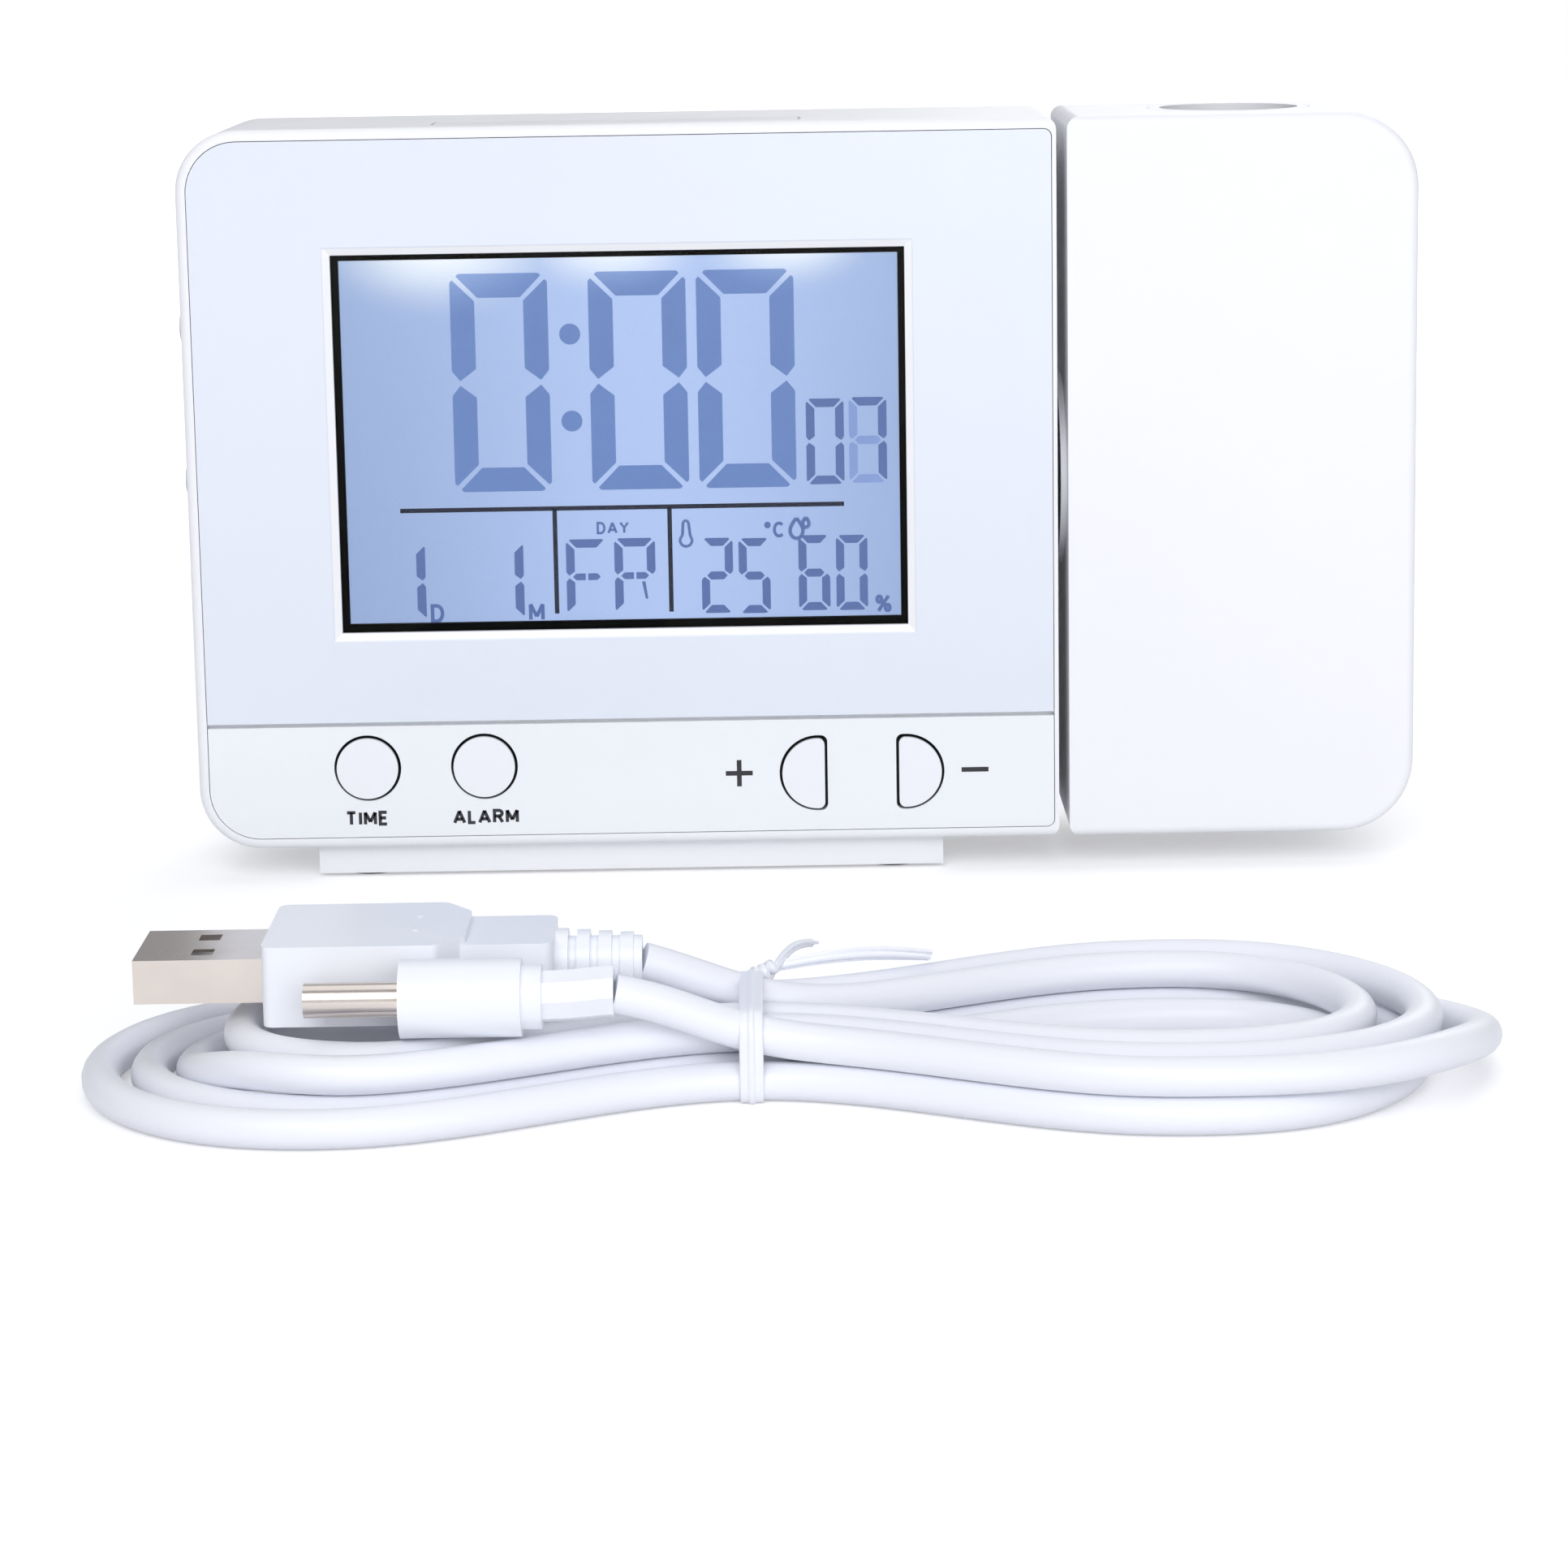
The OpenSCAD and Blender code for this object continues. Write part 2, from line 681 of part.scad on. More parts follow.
// The black foam frame between the window and the cell
module lcd_gasket() {
    color(dark) difference() {
        box(clock_x - cell_w / 2, clock_x + cell_w / 2, gasket_y, cell_y,
            cell_bottom - lcd_ledge, cell_top);
        box(clock_x - lcd_open_w / 2 + gasket_show, clock_x + lcd_open_w / 2 - gasket_show,
            gasket_y - 1, cell_y + 1,
            lcd_z - lcd_open_h / 2 + gasket_show, lcd_z + lcd_open_h / 2 - gasket_show);
    }
}

// Two glass plates: the front one is longer and carries the contacts on its ledge
module lcd_cell() {
    color([0.66, 0.74, 0.9]) {
        box(clock_x - cell_w / 2, clock_x + cell_w / 2, cell_y, cell_y + glass_t,
            cell_bottom - lcd_ledge, cell_top);
        box(clock_x - cell_w / 2, clock_x + cell_w / 2, cell_y + glass_t, cell_end,
            cell_bottom, cell_top);
    }
}

// The clear plate that spreads the light of the two LEDs above it
module light_guide() {
    color(clear)
        box(clock_x - cell_w / 2, clock_x + cell_w / 2, guide_y, guide_y + guide_t,
            cell_bottom, cell_top - led_h - seat_fit);
}

module backlight_leds() {
    color([0.95, 0.9, 0.6]) {
        for (x = [-20.6, 24.6])
            box(clock_x + x - 2, clock_x + x + 2, guide_y, guide_y + guide_t - 0.3, cell_top - led_h, cell_top);
        box(clock_x - 26, clock_x + 30, guide_y + guide_t - 0.3, guide_y + guide_t - 0.1,
            cell_top - led_h, cell_top);
    }
}

// The frame that holds the cell and the light guide, screwed to the front shell's posts
module lcd_holder() {
    color([0.95, 0.95, 0.95]) difference() {
        union() {
            box(clock_x - holder_x, clock_x + holder_x, cav_front, board_y, holder_bottom, holder_top);
            for (s = [-1, 1], t = [-1, 1]) {
                rod_y([clock_x + s * post_dx, lcd_z + t * post_dz], ear_r, holder_back, board_y);
                box(clock_x + (s > 0 ? holder_x - 1 : -post_dx), clock_x + (s > 0 ? post_dx : 1 - holder_x),
                    holder_back, board_y, lcd_z + t * post_dz - ear_r, lcd_z + t * post_dz + ear_r);
            }
        }
        box(clock_x - cell_w / 2 - seat_fit, clock_x + cell_w / 2 + seat_fit, cav_front - 1, holder_back,
            cell_bottom - seat_fit, cell_top + seat_fit);
        box(clock_x - cell_w / 2 - seat_fit, clock_x + cell_w / 2 + seat_fit, cav_front - 1,
            cell_y + glass_t, cell_bottom - lcd_ledge - seat_fit, cell_top);
        for (s = [-1, 1]) box(clock_x + s * 17 - 14, clock_x + s * 17 + 14, holder_back - 1, board_y + 1,
                              lcd_z - 17, lcd_z + 17);
        box(clock_x - 30.2, clock_x + 30.2, cav_front, board_y + 1,
            cell_bottom - lcd_ledge + 0.2, cell_bottom - 0.2);
        for (p = post_places) rod_y(p, 1.1, cav_front, board_y + 1);
    }
}

// The elastic strip that joins the cell's contacts to the board
module zebra_strip() {
    color([0.85, 0.55, 0.6])
        box(clock_x - 30, clock_x + 30, cell_y + glass_t, board_y,
            cell_bottom - lcd_ledge + 0.4, cell_bottom - 0.4);
}

// The main circuit board, cut back round the corner bosses and the hub
module main_board() {
    color([0.1, 0.42, 0.25]) along_y(board_y, board_end) difference() {
        translate([board_left, board_bottom]) square([board_right - board_left, board_top - board_bottom]);
        for (p = clock_bosses) translate(p) circle(boss_r + 0.8);
        for (p = post_places) translate(p) circle(1.1);
        translate([hub_end - 3, mid_z - 13]) square([20, 26]);
    }
}

// A chip under its drop of resin, a crystal, two capacitors and the projector's socket
module board_parts() {
    blob_r = 6;
    color(dark) intersection() {
        translate([clock_x - 4, board_end - 4.5, lcd_z]) sphere(blob_r);
        box(clock_x - 12, clock_x + 4, board_end, board_end + 3, lcd_z - 8, lcd_z + 8);
    }
    color(steel) rod_y([clock_x + 12, lcd_z + 10], 1.5, board_end, board_end + 2.6);
    color([0.15, 0.2, 0.4]) for (z = [lcd_z + 15, lcd_z + 22])
        rod_y([clock_x - 20, z], 2.5, board_end, board_end + 8);
    color(white) box(socket_x, socket_x + 4, board_end, board_end + 5, mid_z - 4, mid_z + 4);
}

// Four switches under the front keys, two at the side and one under the snooze bar
module key_switches() {
    for (p = key_places) switch_front_facing(p);
    for (z = [upper_side_z, lower_side_z]) {
        color(dark) box(board_left, board_left + 5, board_y - 4, board_y, z - 3, z + 3);
        color(steel) rod_x(side_key_y, z, 1, board_left - switch_stem_h, board_left);
    }
    color(dark) box(clock_x - 3, clock_x + 3, board_y - 4, board_y, holder_top + slide_fit, board_top);
    color(steel) rod_z(clock_x, side_key_y, 1, board_top, board_top + switch_stem_h);
}

module switch_front_facing(at) {
    color(dark) box(at[0] - 3, at[0] + 3, board_y - switch_h, board_y, at[1] - 3, at[1] + 3);
    color(steel) rod_y(at, 1.7, switch_front, board_y - switch_h);
}

module board_screws() {
    color(steel) for (p = post_places) screw(p, board_end, 7.5, 0.9, 1.9, 1.3);
}

module buzzer() {
    color(dark) difference() {
        rod_y(buzzer_at, buzzer_r, cav_back - buzzer_h, cav_back);
        rod_y(buzzer_at, 1, cav_back - 1.5, cav_back + 1);
    }
}

// The temperature and humidity sensor on its own small board, behind the vents
module climate_sensor() {
    color([0.1, 0.42, 0.25]) along_y(cav_back - 3.4, cav_back - 2.4) translate(vent_at) difference() {
        square([10.4, 8], center = true);
        for (s = [-1, 1]) translate([s * vent_post_dx, 0]) circle(0.7);
    }
    color(dark) box(vent_at[0] - 1.5, vent_at[0] + 1.5, cav_back - 2.4, cav_back - 1.4,
                    vent_at[1] - 1.5, vent_at[1] + 1.5);
}

// The rear half of the clock's case, with the battery bay, grille, vents and inlet hole
module rear_shell() {
    color(white) difference() {
        union() {
            difference() {
                clock_rear_half();
                along_y(mid_y - 1, cav_back) clock_outline(wall);
                along_y(mid_y - 1, mid_y + lip_h + seat_fit) clock_outline(wall / 2);
            }
            rear_bosses(clock_bosses);
            box(bay_x - bay_w / 2 - bay_wall, bay_x + bay_w / 2 + bay_wall, bay_floor - bay_wall, cav_back + 0.5,
                bay_z - bay_h / 2 - bay_wall, bay_z + bay_h / 2 + bay_wall);
            box(bay_x - door_w / 2 - bay_wall, bay_x + door_w / 2 + bay_wall, cav_back - bay_wall, cav_back + 0.5,
                bay_z - door_h / 2 - bay_wall, bay_z + door_h / 2 + bay_wall);
            rod_y(buzzer_at, buzzer_r + seat_fit + 1.2, cav_back - 3, cav_back + 0.5);
            rod_y(inlet_at, inlet_collar_r + seat_fit + 1.5, cav_back - 2, cav_back + 0.5);
            for (s = [-1, 1]) rod_y([vent_at[0] + s * vent_post_dx, vent_at[1]], 1.2, cav_back - 2.4, cav_back + 0.5);
            for (s = [-1, 1]) rod_y([vent_at[0] + s * vent_post_dx, vent_at[1]], 0.65, cav_back - 3.8, cav_back - 2);
            for (s = [-1, 1]) rod_z(clock_x + s * foot_w * 0.36, mid_y + 6, 2.9, cav_bottom - 0.5, cav_bottom + 6);
        }
        rear_boss_holes(clock_bosses);
        box(bay_x - bay_w / 2, bay_x + bay_w / 2, bay_floor, back_y + 1, bay_z - bay_h / 2, bay_z + bay_h / 2);
        box(bay_x - door_w / 2 - slide_fit / 2, bay_x + door_w / 2 + slide_fit / 2, back_y - door_t, back_y + 1,
            bay_z - door_h / 2 - slide_fit / 2, bay_z + door_h / 2 + slide_fit / 2);
        for (s = [-1, 1])
            box(bay_x + s * hook_dx - hook_w / 2 - slide_fit, bay_x + s * hook_dx + hook_w / 2 + slide_fit,
                back_y - door_t - 2.4, back_y - door_t + 0.1, bay_z - door_h / 2 - 1.6, bay_z - bay_h / 2 + 0.1);
        rod_y([bay_x, bay_z + door_h / 2], 5, back_y - 1.2, back_y + 1);
        rod_y(buzzer_at, buzzer_r + seat_fit, cav_back - 4, cav_back);
        for (i = [-3:3]) along_y(cav_back - 1, back_y + 1)
            translate([buzzer_at[0], buzzer_at[1] + i * 2.2]) slot(2 * sqrt(64 - pow(i * 2.2, 2)), 1.1);
        for (i = [-2:2]) along_y(cav_back - 1, back_y + 1)
            translate([vent_at[0], vent_at[1] + i * 2.2]) slot(i == 0 ? 5 : 7, 1.1);
        rod_y(inlet_at, inlet_collar_r + seat_fit, cav_back - 3, back_y + 1);
        rod_x(mid_y, mid_z, bush_r + seat_fit, cav_right - 1, clock_right + 1);
        for (s = [-1, 1])
            rod_z(clock_x + s * foot_w * 0.36, mid_y + 6, screw_r + 0.05, bottom_z - 1, cav_bottom + 5);
    }
}

// The contact plates at the ends of the bay, with a spring or a nub for each cell
module battery_contacts() {
    left_end = bay_x - bay_w / 2;
    right_end = bay_x + bay_w / 2;
    color(steel) {
        box(left_end + 0.1, left_end + 0.5, cells_y - 4, cells_y + 4, bay_z - cell_pitch / 2 - 4.5,
            bay_z + cell_pitch / 2 + 4.5);
        for (s = [-1, 1])
            box(right_end - 0.5, right_end - 0.1, cells_y - 4, cells_y + 4,
                bay_z + s * cell_pitch / 2 - 4.5, bay_z + s * cell_pitch / 2 + 4.5);
        translate([left_end + 0.5, cells_y, bay_z - cell_pitch / 2]) rotate([0, 90, 0]) contact_spring();
        translate([right_end - 0.5, cells_y, bay_z + cell_pitch / 2]) rotate([0, -90, 0]) contact_spring();
    }
}

// A conical spring that opens towards its plate
spring_l = (bay_w - cell_len) / 2 + 1.3;
module contact_spring() {
    turns = 3.5;
    steps = 12;
    n = turns * steps;
    tube([for (i = [0:n]) let (a = 360 * turns * i / n, r = 3.6 - 1.6 * i / n)
        [r * cos(a), r * sin(a), 0.25 + (spring_l - 0.6) * i / n]], 0.3, 6);
}

// Two AAA cells side by side, facing opposite ways
module battery_cells() {
    nub_l = 0.8;
    for (s = [-1, 1]) {
        x0 = s < 0 ? bay_x - bay_w / 2 + 0.5 + spring_l : bay_x + bay_w / 2 - 0.5 - spring_l;
        translate([x0, cells_y, bay_z + s * cell_pitch / 2]) rotate([0, s < 0 ? 90 : -90, 0]) {
            color([0.25, 0.28, 0.32]) cylinder(r = cell_dia / 2, h = cell_len - nub_l);
            color(steel) translate([0, 0, cell_len - nub_l]) cylinder(r = 1.9, h = nub_l);
        }
    }
}

// The battery door: two hooks under its lower edge and a grip notch at its upper one
module battery_door() {
    low = bay_z - door_h / 2;
    color(white) difference() {
        union() {
            box(bay_x - door_w / 2, bay_x + door_w / 2, back_y - door_t, back_y, low, low + door_h);
            for (s = [-1, 1]) {
                x0 = bay_x + s * hook_dx - hook_w / 2;
                box(x0, x0 + hook_w, back_y - door_t - 1.9, back_y - door_t + 0.2, low + 0.2, low + 1.4);
                box(x0, x0 + hook_w, back_y - door_t - 1.9, back_y - door_t - 0.9, low - 0.9, low + 0.3);
            }
        }
        for (i = [-2:2]) along_y(back_y - 0.5, back_y + 1)
            translate([bay_x, low + door_h - 6 + i * 1.6]) slot(12, 0.7);
    }
}

// The socket that the cable's plug pushes into, with its centre pin
module power_inlet() {
    color(dark) difference() {
        union() {
            rod_y(inlet_at, inlet_collar_r, cav_back - 2.4, back_y - 0.1);
            box(inlet_at[0] - 4.2, inlet_at[0] + 4.2, board_end, cav_back - 2.2, inlet_at[1] - 4.2, inlet_at[1] + 4.2);
        }
        rod_y(inlet_at, inlet_bore_r, back_y - 11, back_y + 1);
    }
    color(steel) rod_y(inlet_at, inlet_pin_r, back_y - 11, back_y - 2);
}

module case_screws() {
    color(steel) for (p = clock_bosses)
        screw(p, counterbore_floor, 12, screw_r, screw_head_r, screw_head_h);
}

// ---- Foot ----

// The foot: a shallow tray, open towards the case, with two pegs, two bosses and four pad seats
module foot() {
    x0 = clock_x - foot_w / 2;
    x1 = clock_x + foot_w / 2;
    y0 = mid_y - foot_l / 2;
    y1 = mid_y + foot_l / 2;
    floor_z = pad_proud + 1.4;
    color(white) difference() {
        union() {
            difference() {
                box(x0, x1, y0, y1, pad_proud, bottom_z);
                box(x0 + 1.6, x1 - 1.6, y0 + 1.6, y1 - 1.6, floor_z, bottom_z + 1);
            }
            for (s = [-1, 1]) {
                rod_z(clock_x + s * foot_w * 0.42, mid_y - 6, 1.5, floor_z - 0.5, cav_bottom - 0.2);
                rod_z(clock_x + s * foot_w * 0.36, mid_y + 6, 4, floor_z - 0.5, bottom_z);
                box(clock_x + s * foot_w / 6 - 0.6, clock_x + s * foot_w / 6 + 0.6, y0 + 1, y1 - 1,
                    floor_z - 0.5, bottom_z);
            }
        }
        for (s = [-1, 1]) {
            rod_z(clock_x + s * foot_w * 0.36, mid_y + 6, screw_r + 0.25, -1, bottom_z + 1);
            rod_z(clock_x + s * foot_w * 0.36, mid_y + 6, screw_head_r + 0.3, -1, pad_proud + screw_head_h + 0.4);
        }
        for (p = pad_places) rod_z(p[0], p[1], pad_r + seat_fit, pad_proud - 1, pad_proud + 0.6);
    }
}
pad_places = [
    for (sx = [-1, 1], sy = [-1, 1]) [clock_x + sx * foot_w * (sy < 0 ? 0.42 : 0.24), mid_y + sy * foot_l * 0.29]
];

module foot_pads() {
    color(dark) for (p = pad_places) rod_z(p[0], p[1], pad_r, 0, pad_proud + 0.6);
}

module foot_screws() {
    seat_z = pad_proud + screw_head_h + 0.4;
    color(steel) for (s = [-1, 1])
        translate([clock_x + s * foot_w * 0.36, mid_y + 6, seat_z]) rotate([-90, 0, 0])
            screw([0, 0], 0, 7, screw_r, screw_head_r, screw_head_h);
}

// ---- Keys ----

// A front key: a cap in the plate, a flange behind the wall and a plunger to its switch
module key_body(at) {
    flange_y = cav_front + seat_fit;
    color(white) {
        along_y(front_y - key_proud, flange_y + 0.1) children(0);
        along_y(flange_y, flange_y + key_flange_t) children(1);
        rod_y(at, 1.6, flange_y + key_flange_t - 0.1, switch_front - key_travel - 0.1);
    }
}

module round_key(at) {
    key_body(at) {
        translate(at) circle(round_key_r);
        translate(at) circle(round_key_r + key_ring + key_flange_out);
    }
}

module half_key(at, side) {
    key_body(at) {
        half_key_outline(at, side, 0);
        half_key_outline(at, side, key_ring + key_flange_out);
    }
}

module time_key() { round_key(time_at); }
module alarm_key() { round_key(alarm_at); }
module plus_key() { half_key(plus_at, 1); }
module minus_key() { half_key(minus_at, -1); }

// A side key: an oblong cap through the left wall, a flange inside and a plunger
module side_key(z) {
    flange_x = cav_left + seat_fit;
    color(white) translate([0, side_key_y, z]) {
        along_x(left_x - side_key_proud, flange_x + 0.1) slot(side_key_l, side_key_h);
        along_x(flange_x, flange_x + key_flange_t) slot_rect(side_key_l + 2, side_key_h + 2.4, 1);
        rod_x(0, 0, 1.2, flange_x + key_flange_t - 0.1, board_left - switch_stem_h - key_travel - 0.1);
    }
}

module upper_side_key() { side_key(upper_side_z); }
module lower_side_key() { side_key(lower_side_z); }

// The snooze and light bar, flush with the top
module snooze_bar() {
    flange_z = cav_top - seat_fit - key_flange_t;
    color(white) translate([clock_x, snooze_y, 0]) {
        along_z(flange_z + key_flange_t - 0.1, top_z) slot_rect(snooze_w, snooze_l, 1.3);
        along_z(flange_z, flange_z + key_flange_t) slot_rect(snooze_w + 2.4, snooze_l + 2, 1);
    }
    color(white) rod_z(clock_x, side_key_y, 1.2, board_top + switch_stem_h + key_travel + 0.1, flange_z + 0.1);
}

// ---- Tilt hub ----

// The bush that the hub turns in: its flange is caught behind the clock's side wall
module hub_bush() {
    color(dark) difference() {
        union() {
            rod_x(mid_y, mid_z, bush_r, cav_right - 0.1, clock_right - 0.1);
            translate([0, mid_y, mid_z]) along_x(bush_face, cav_right)
                slot_rect(2 * bush_flange_y, 2 * bush_flange_z, 3);
        }
        rod_x(mid_y, mid_z, hub_r + run_fit, bush_face - 1, clock_right + 1);
    }
}

// The hollow hub, keyed to the projector block by two notches in its flange
module hub_shaft() {
    color([0.2, 0.2, 0.22]) difference() {
        union() {
            rod_x(mid_y, mid_z, hub_r, hub_end, proj_inner + 0.5);
            rod_x(mid_y, mid_z, flange_r, proj_inner, flange_end);
        }
        rod_x(mid_y, mid_z, hub_bore_r, hub_end - 1, flange_end + 1);
        difference() {
            rod_x(mid_y, mid_z, hub_r + 1, clip_x, clip_x + clip_t + 0.1);
            rod_x(mid_y, mid_z, hub_r - 0.8, clip_x - 1, clip_x + clip_t + 1);
        }
        for (s = [-1, 1])
            box(proj_inner - 1, flange_end + 1, mid_y + s * (hub_r + 3) - 2, mid_y + s * (hub_r + 3) + 2,
                mid_z - 1.6, mid_z + 1.6);
    }
}

// The open clip that holds the hub in its bush
module hub_clip() {
    color(steel) difference() {
        rod_x(mid_y, mid_z, hub_r + 2, clip_x + 0.05, clip_x + 0.05 + clip_t);
        rod_x(mid_y, mid_z, hub_r - 0.7, clip_x - 1, clip_x + clip_t + 1);
        box(clip_x - 1, clip_x + clip_t + 1, mid_y - 3.5, mid_y + 3.5, mid_z, mid_z + hub_r + 3);
    }
}

// A washer with three waves, which loads the friction of the tilt
module wave_washer() {
    n = 36;
    t = 0.3;
    x0 = clip_x + clip_t + 0.15;
    room = bush_face - 0.05 - washer_t - x0;
    amp = (room - t - 0.2) / 2;
    inner = hub_r + 0.2;
    outer = hub_r + 2.4;
    mid = x0 + room / 2;
    function at(r, a, x) = [x + amp * cos(3 * a), mid_y + r * cos(a), mid_z + r * sin(a)];
    color(steel) polyhedron(
        points = [for (i = [0:n - 1]) let (a = 360 * i / n)
            each [at(inner, a, mid - t / 2), at(outer, a, mid - t / 2),
                  at(outer, a, mid + t / 2), at(inner, a, mid + t / 2)]],
        faces = concat(
            [for (i = [0:n - 1], k = [0:3]) [4 * i + k, 4 * ((i + 1) % n) + (k + 1) % 4, 4 * ((i + 1) % n) + k]],
            [for (i = [0:n - 1], k = [0:3]) [4 * i + k, 4 * i + (k + 1) % 4, 4 * ((i + 1) % n) + (k + 1) % 4]]
        ));
}

module friction_washer() {
    color([0.3, 0.25, 0.2]) difference() {
        rod_x(mid_y, mid_z, hub_r + 2.5, bush_face - 0.05 - washer_t, bush_face - 0.05);
        rod_x(mid_y, mid_z, hub_r + 0.1, bush_face - 3, bush_face + 1);
    }
}

// ---- Projector block ----

module hub_ring(y0, y1) {
    intersection() {
        rod_x(mid_y, mid_z, hub_ring_r, proj_left - hub_ring_h, proj_left + 0.5);
        box(proj_left - 5, proj_left + 5, y0, y1, bottom_z, top_z);
    }
}

// What both projector shells are cut by: the hub's hole and the lens opening
module projector_cuts() {
    rod_x(mid_y, mid_z, hub_r + seat_fit, proj_left - 2, proj_inner + 1);
    rod_z(proj_x, axis_y, bezel_r + seat_fit, top_z - bezel_t - seat_fit, top_z + 1);
    rod_z(proj_x, axis_y, bezel_r - 0.8, cav_top - 1, top_z);
}

// The ledge over the focus wheel that keeps it down
module wheel_shelf(y0, y1) {
    difference() {
        box(proj_inner - 0.5, right_x - wall + 0.5, y0, y1, shelf_z, shelf_z + shelf_t);
        rod_z(proj_x, axis_y, wheel_bore + thread_h + 0.4, shelf_z - 1, shelf_z + shelf_t + 1);
    }
}

// The rib behind the hub's flange, with a key that fills the flange's notch
module hub_rib(s, y_wall) {
    y_key = mid_y + s * (hub_r + 1.3);
    y_end = mid_y + s * (hub_bore_r + 1);
    box(flange_end + 0.1, flange_end + 1.7, min(y_wall, y_end), max(y_wall, y_end), mid_z - 9, mid_z + 9);
    box(proj_inner - 0.5, flange_end + 0.5, min(y_wall, y_key), max(y_wall, y_key), mid_z - 1.4, mid_z + 1.4);
}

// The front half of the projector block: a bare face with posts for the optics
module projector_front_shell() {
    color(white) difference() {
        union() {
            difference() {
                proj_front_half();
                along_y(front_y + wall, mid_y + 1) proj_outline(wall);
            }
            along_y(mid_y - 2, mid_y + lip_h) difference() {
                proj_outline(wall / 2 + seat_fit);
                proj_outline(wall);
            }
            front_bosses(proj_bosses, front_y + wall - 0.5);
            hub_ring(front_y, mid_y);
            hub_rib(-1, front_y + wall - 0.5);
            wheel_shelf(front_y + wall - 0.5, mid_y);
            for (s = [-1, 1], z = lug_zs)
                rod_y([proj_x + s * lug_dx, z], 2.4, front_y + wall - 0.5, mid_y - lug_t / 2);
        }
        projector_cuts();
        front_boss_holes(proj_bosses);
        for (s = [-1, 1], z = lug_zs)
            rod_y([proj_x + s * lug_dx, z], 0.95, front_y + wall + 2, mid_y);
    }
}

// The rear half of the projector block, with the slot that the focus wheel stands out of
module projector_rear_shell() {
    color(white) difference() {
        union() {
            difference() {
                proj_rear_half();
                along_y(mid_y - 1, cav_back) proj_outline(wall);
                along_y(mid_y - 1, mid_y + lip_h + seat_fit) proj_outline(wall / 2);
            }
            rear_bosses(proj_bosses);
            hub_ring(mid_y, back_y);
            hub_rib(1, cav_back + 0.5);
            wheel_shelf(mid_y + lip_h + 0.3, cav_back + 0.5);
        }
        projector_cuts();
        rear_boss_holes(proj_bosses);
        along_y(cav_back - 1, back_y + 1) translate([proj_x, wheel_z + wheel_w / 2])
            slot_rect(2 * slot_half, wheel_w + 2 * slide_fit, 1);
        for (i = [-2:2]) along_y(cav_back - 1, back_y + 1)
            translate([proj_x, bottom_z + 20 + i * 2.6]) slot(20, 1.2);
    }
}
// Half the width of the wheel where it passes the inside of the back wall, with its clearance
slot_half = sqrt(pow(wheel_r, 2) - pow(cav_back - axis_y, 2)) + 2 * slide_fit;

module projector_screws() {
    color(steel) for (p = proj_bosses)
        screw(p, counterbore_floor, 12, screw_r, screw_head_r, screw_head_h);
}

// ---- Optics ----

// The light box: a tube with a shelf for the image cell, a keyed guide for the barrel,
// a collar that the focus wheel turns on, and four lugs
module optics_frame() {
    shelf = frame_z + 17;
    color(dark) difference() {
        union() {
            rod_z(proj_x, axis_y, frame_r, frame_z, collar_top - 3.4);
            rod_z(proj_x, axis_y, collar_r, collar_top - 3.5, collar_top);
            for (s = [-1, 1], z = lug_zs) {
                lug_x = proj_x + s * lug_dx;
                rod_y([lug_x, z], 2.8, mid_y - lug_t / 2, mid_y + lug_t / 2);
                box(min(lug_x, proj_x + s * 9), max(lug_x, proj_x + s * 9), mid_y - lug_t / 2, mid_y + lug_t / 2,
                    z - 2.8, z + 2.8);
            }
        }
        rod_z(proj_x, axis_y, guide_r, frame_z - 1, shelf - 1.5);
        box(proj_x - 4.8, proj_x + 4.8, axis_y - 4.8, axis_y + 4.8, shelf - 2, shelf + 1);
        rod_z(proj_x, axis_y, guide_r, shelf, collar_top + 1);
        for (s = [-1, 1])
            box(proj_x - barrel_key_w / 2 - run_fit, proj_x + barrel_key_w / 2 + run_fit,
                axis_y + s * 8.7 - 1.5, axis_y + s * 8.7 + 1.5, barrel_z - focus_travel - 0.5, collar_top + 1);
        box(proj_left, right_x, cav_back - 0.3, back_y, frame_z - 1, collar_top + 1);
        for (s = [-1, 1], z = lug_zs) rod_y([proj_x + s * lug_dx, z], 1.05, mid_y - 3, mid_y + 3);
    }
}

module optics_screws() {
    color(steel) for (s = [-1, 1], z = lug_zs)
        screw([proj_x + s * lug_dx, z], mid_y + lug_t / 2, 7.5, 0.9, 1.9, 1.3);
}

module led_board() {
    color([0.1, 0.42, 0.25]) along_z(frame_z - 1.6, frame_z) translate([proj_x, axis_y - 2]) difference() {
        square([22, 18], center = true);
        for (s = [-1, 1]) translate([s * 9, 7]) circle(0.9);
    }
    color(dark) rod_z(proj_x - 8, axis_y - 6, 1.6, frame_z - 5, frame_z - 1.6);
}

// The projector's lamp, a clear dome on a round body
module projector_led() {
    color([0.95, 0.95, 0.8]) translate([proj_x, axis_y, frame_z]) {
        cylinder(r = 2.9, h = 1);
        cylinder(r = 2.5, h = 4.5);
        translate([0, 0, 4.5]) sphere(2.5);
    }
}

// A lens that is flat below and domed above, standing on z = 0
module dome_lens(r, rim, dome) {
    big = (pow(r, 2) + pow(dome, 2)) / (2 * dome);
    intersection() {
        cylinder(r = r, h = rim + dome + 1);
        translate([0, 0, rim + dome - big]) sphere(big);
    }
}

module condenser_lens() {
    color(clear) translate([proj_x, axis_y, frame_z + 15.5 - 4.1]) dome_lens(barrel_r - 0.05, 1.8, 2.2);
}

// The small cell that holds the projected figures
module projector_lcd() {
    side = 11.4;
    color([0.3, 0.32, 0.4]) translate([proj_x - side / 2, axis_y - side / 2, frame_z + 17]) cube([side, side, 2.2]);
}

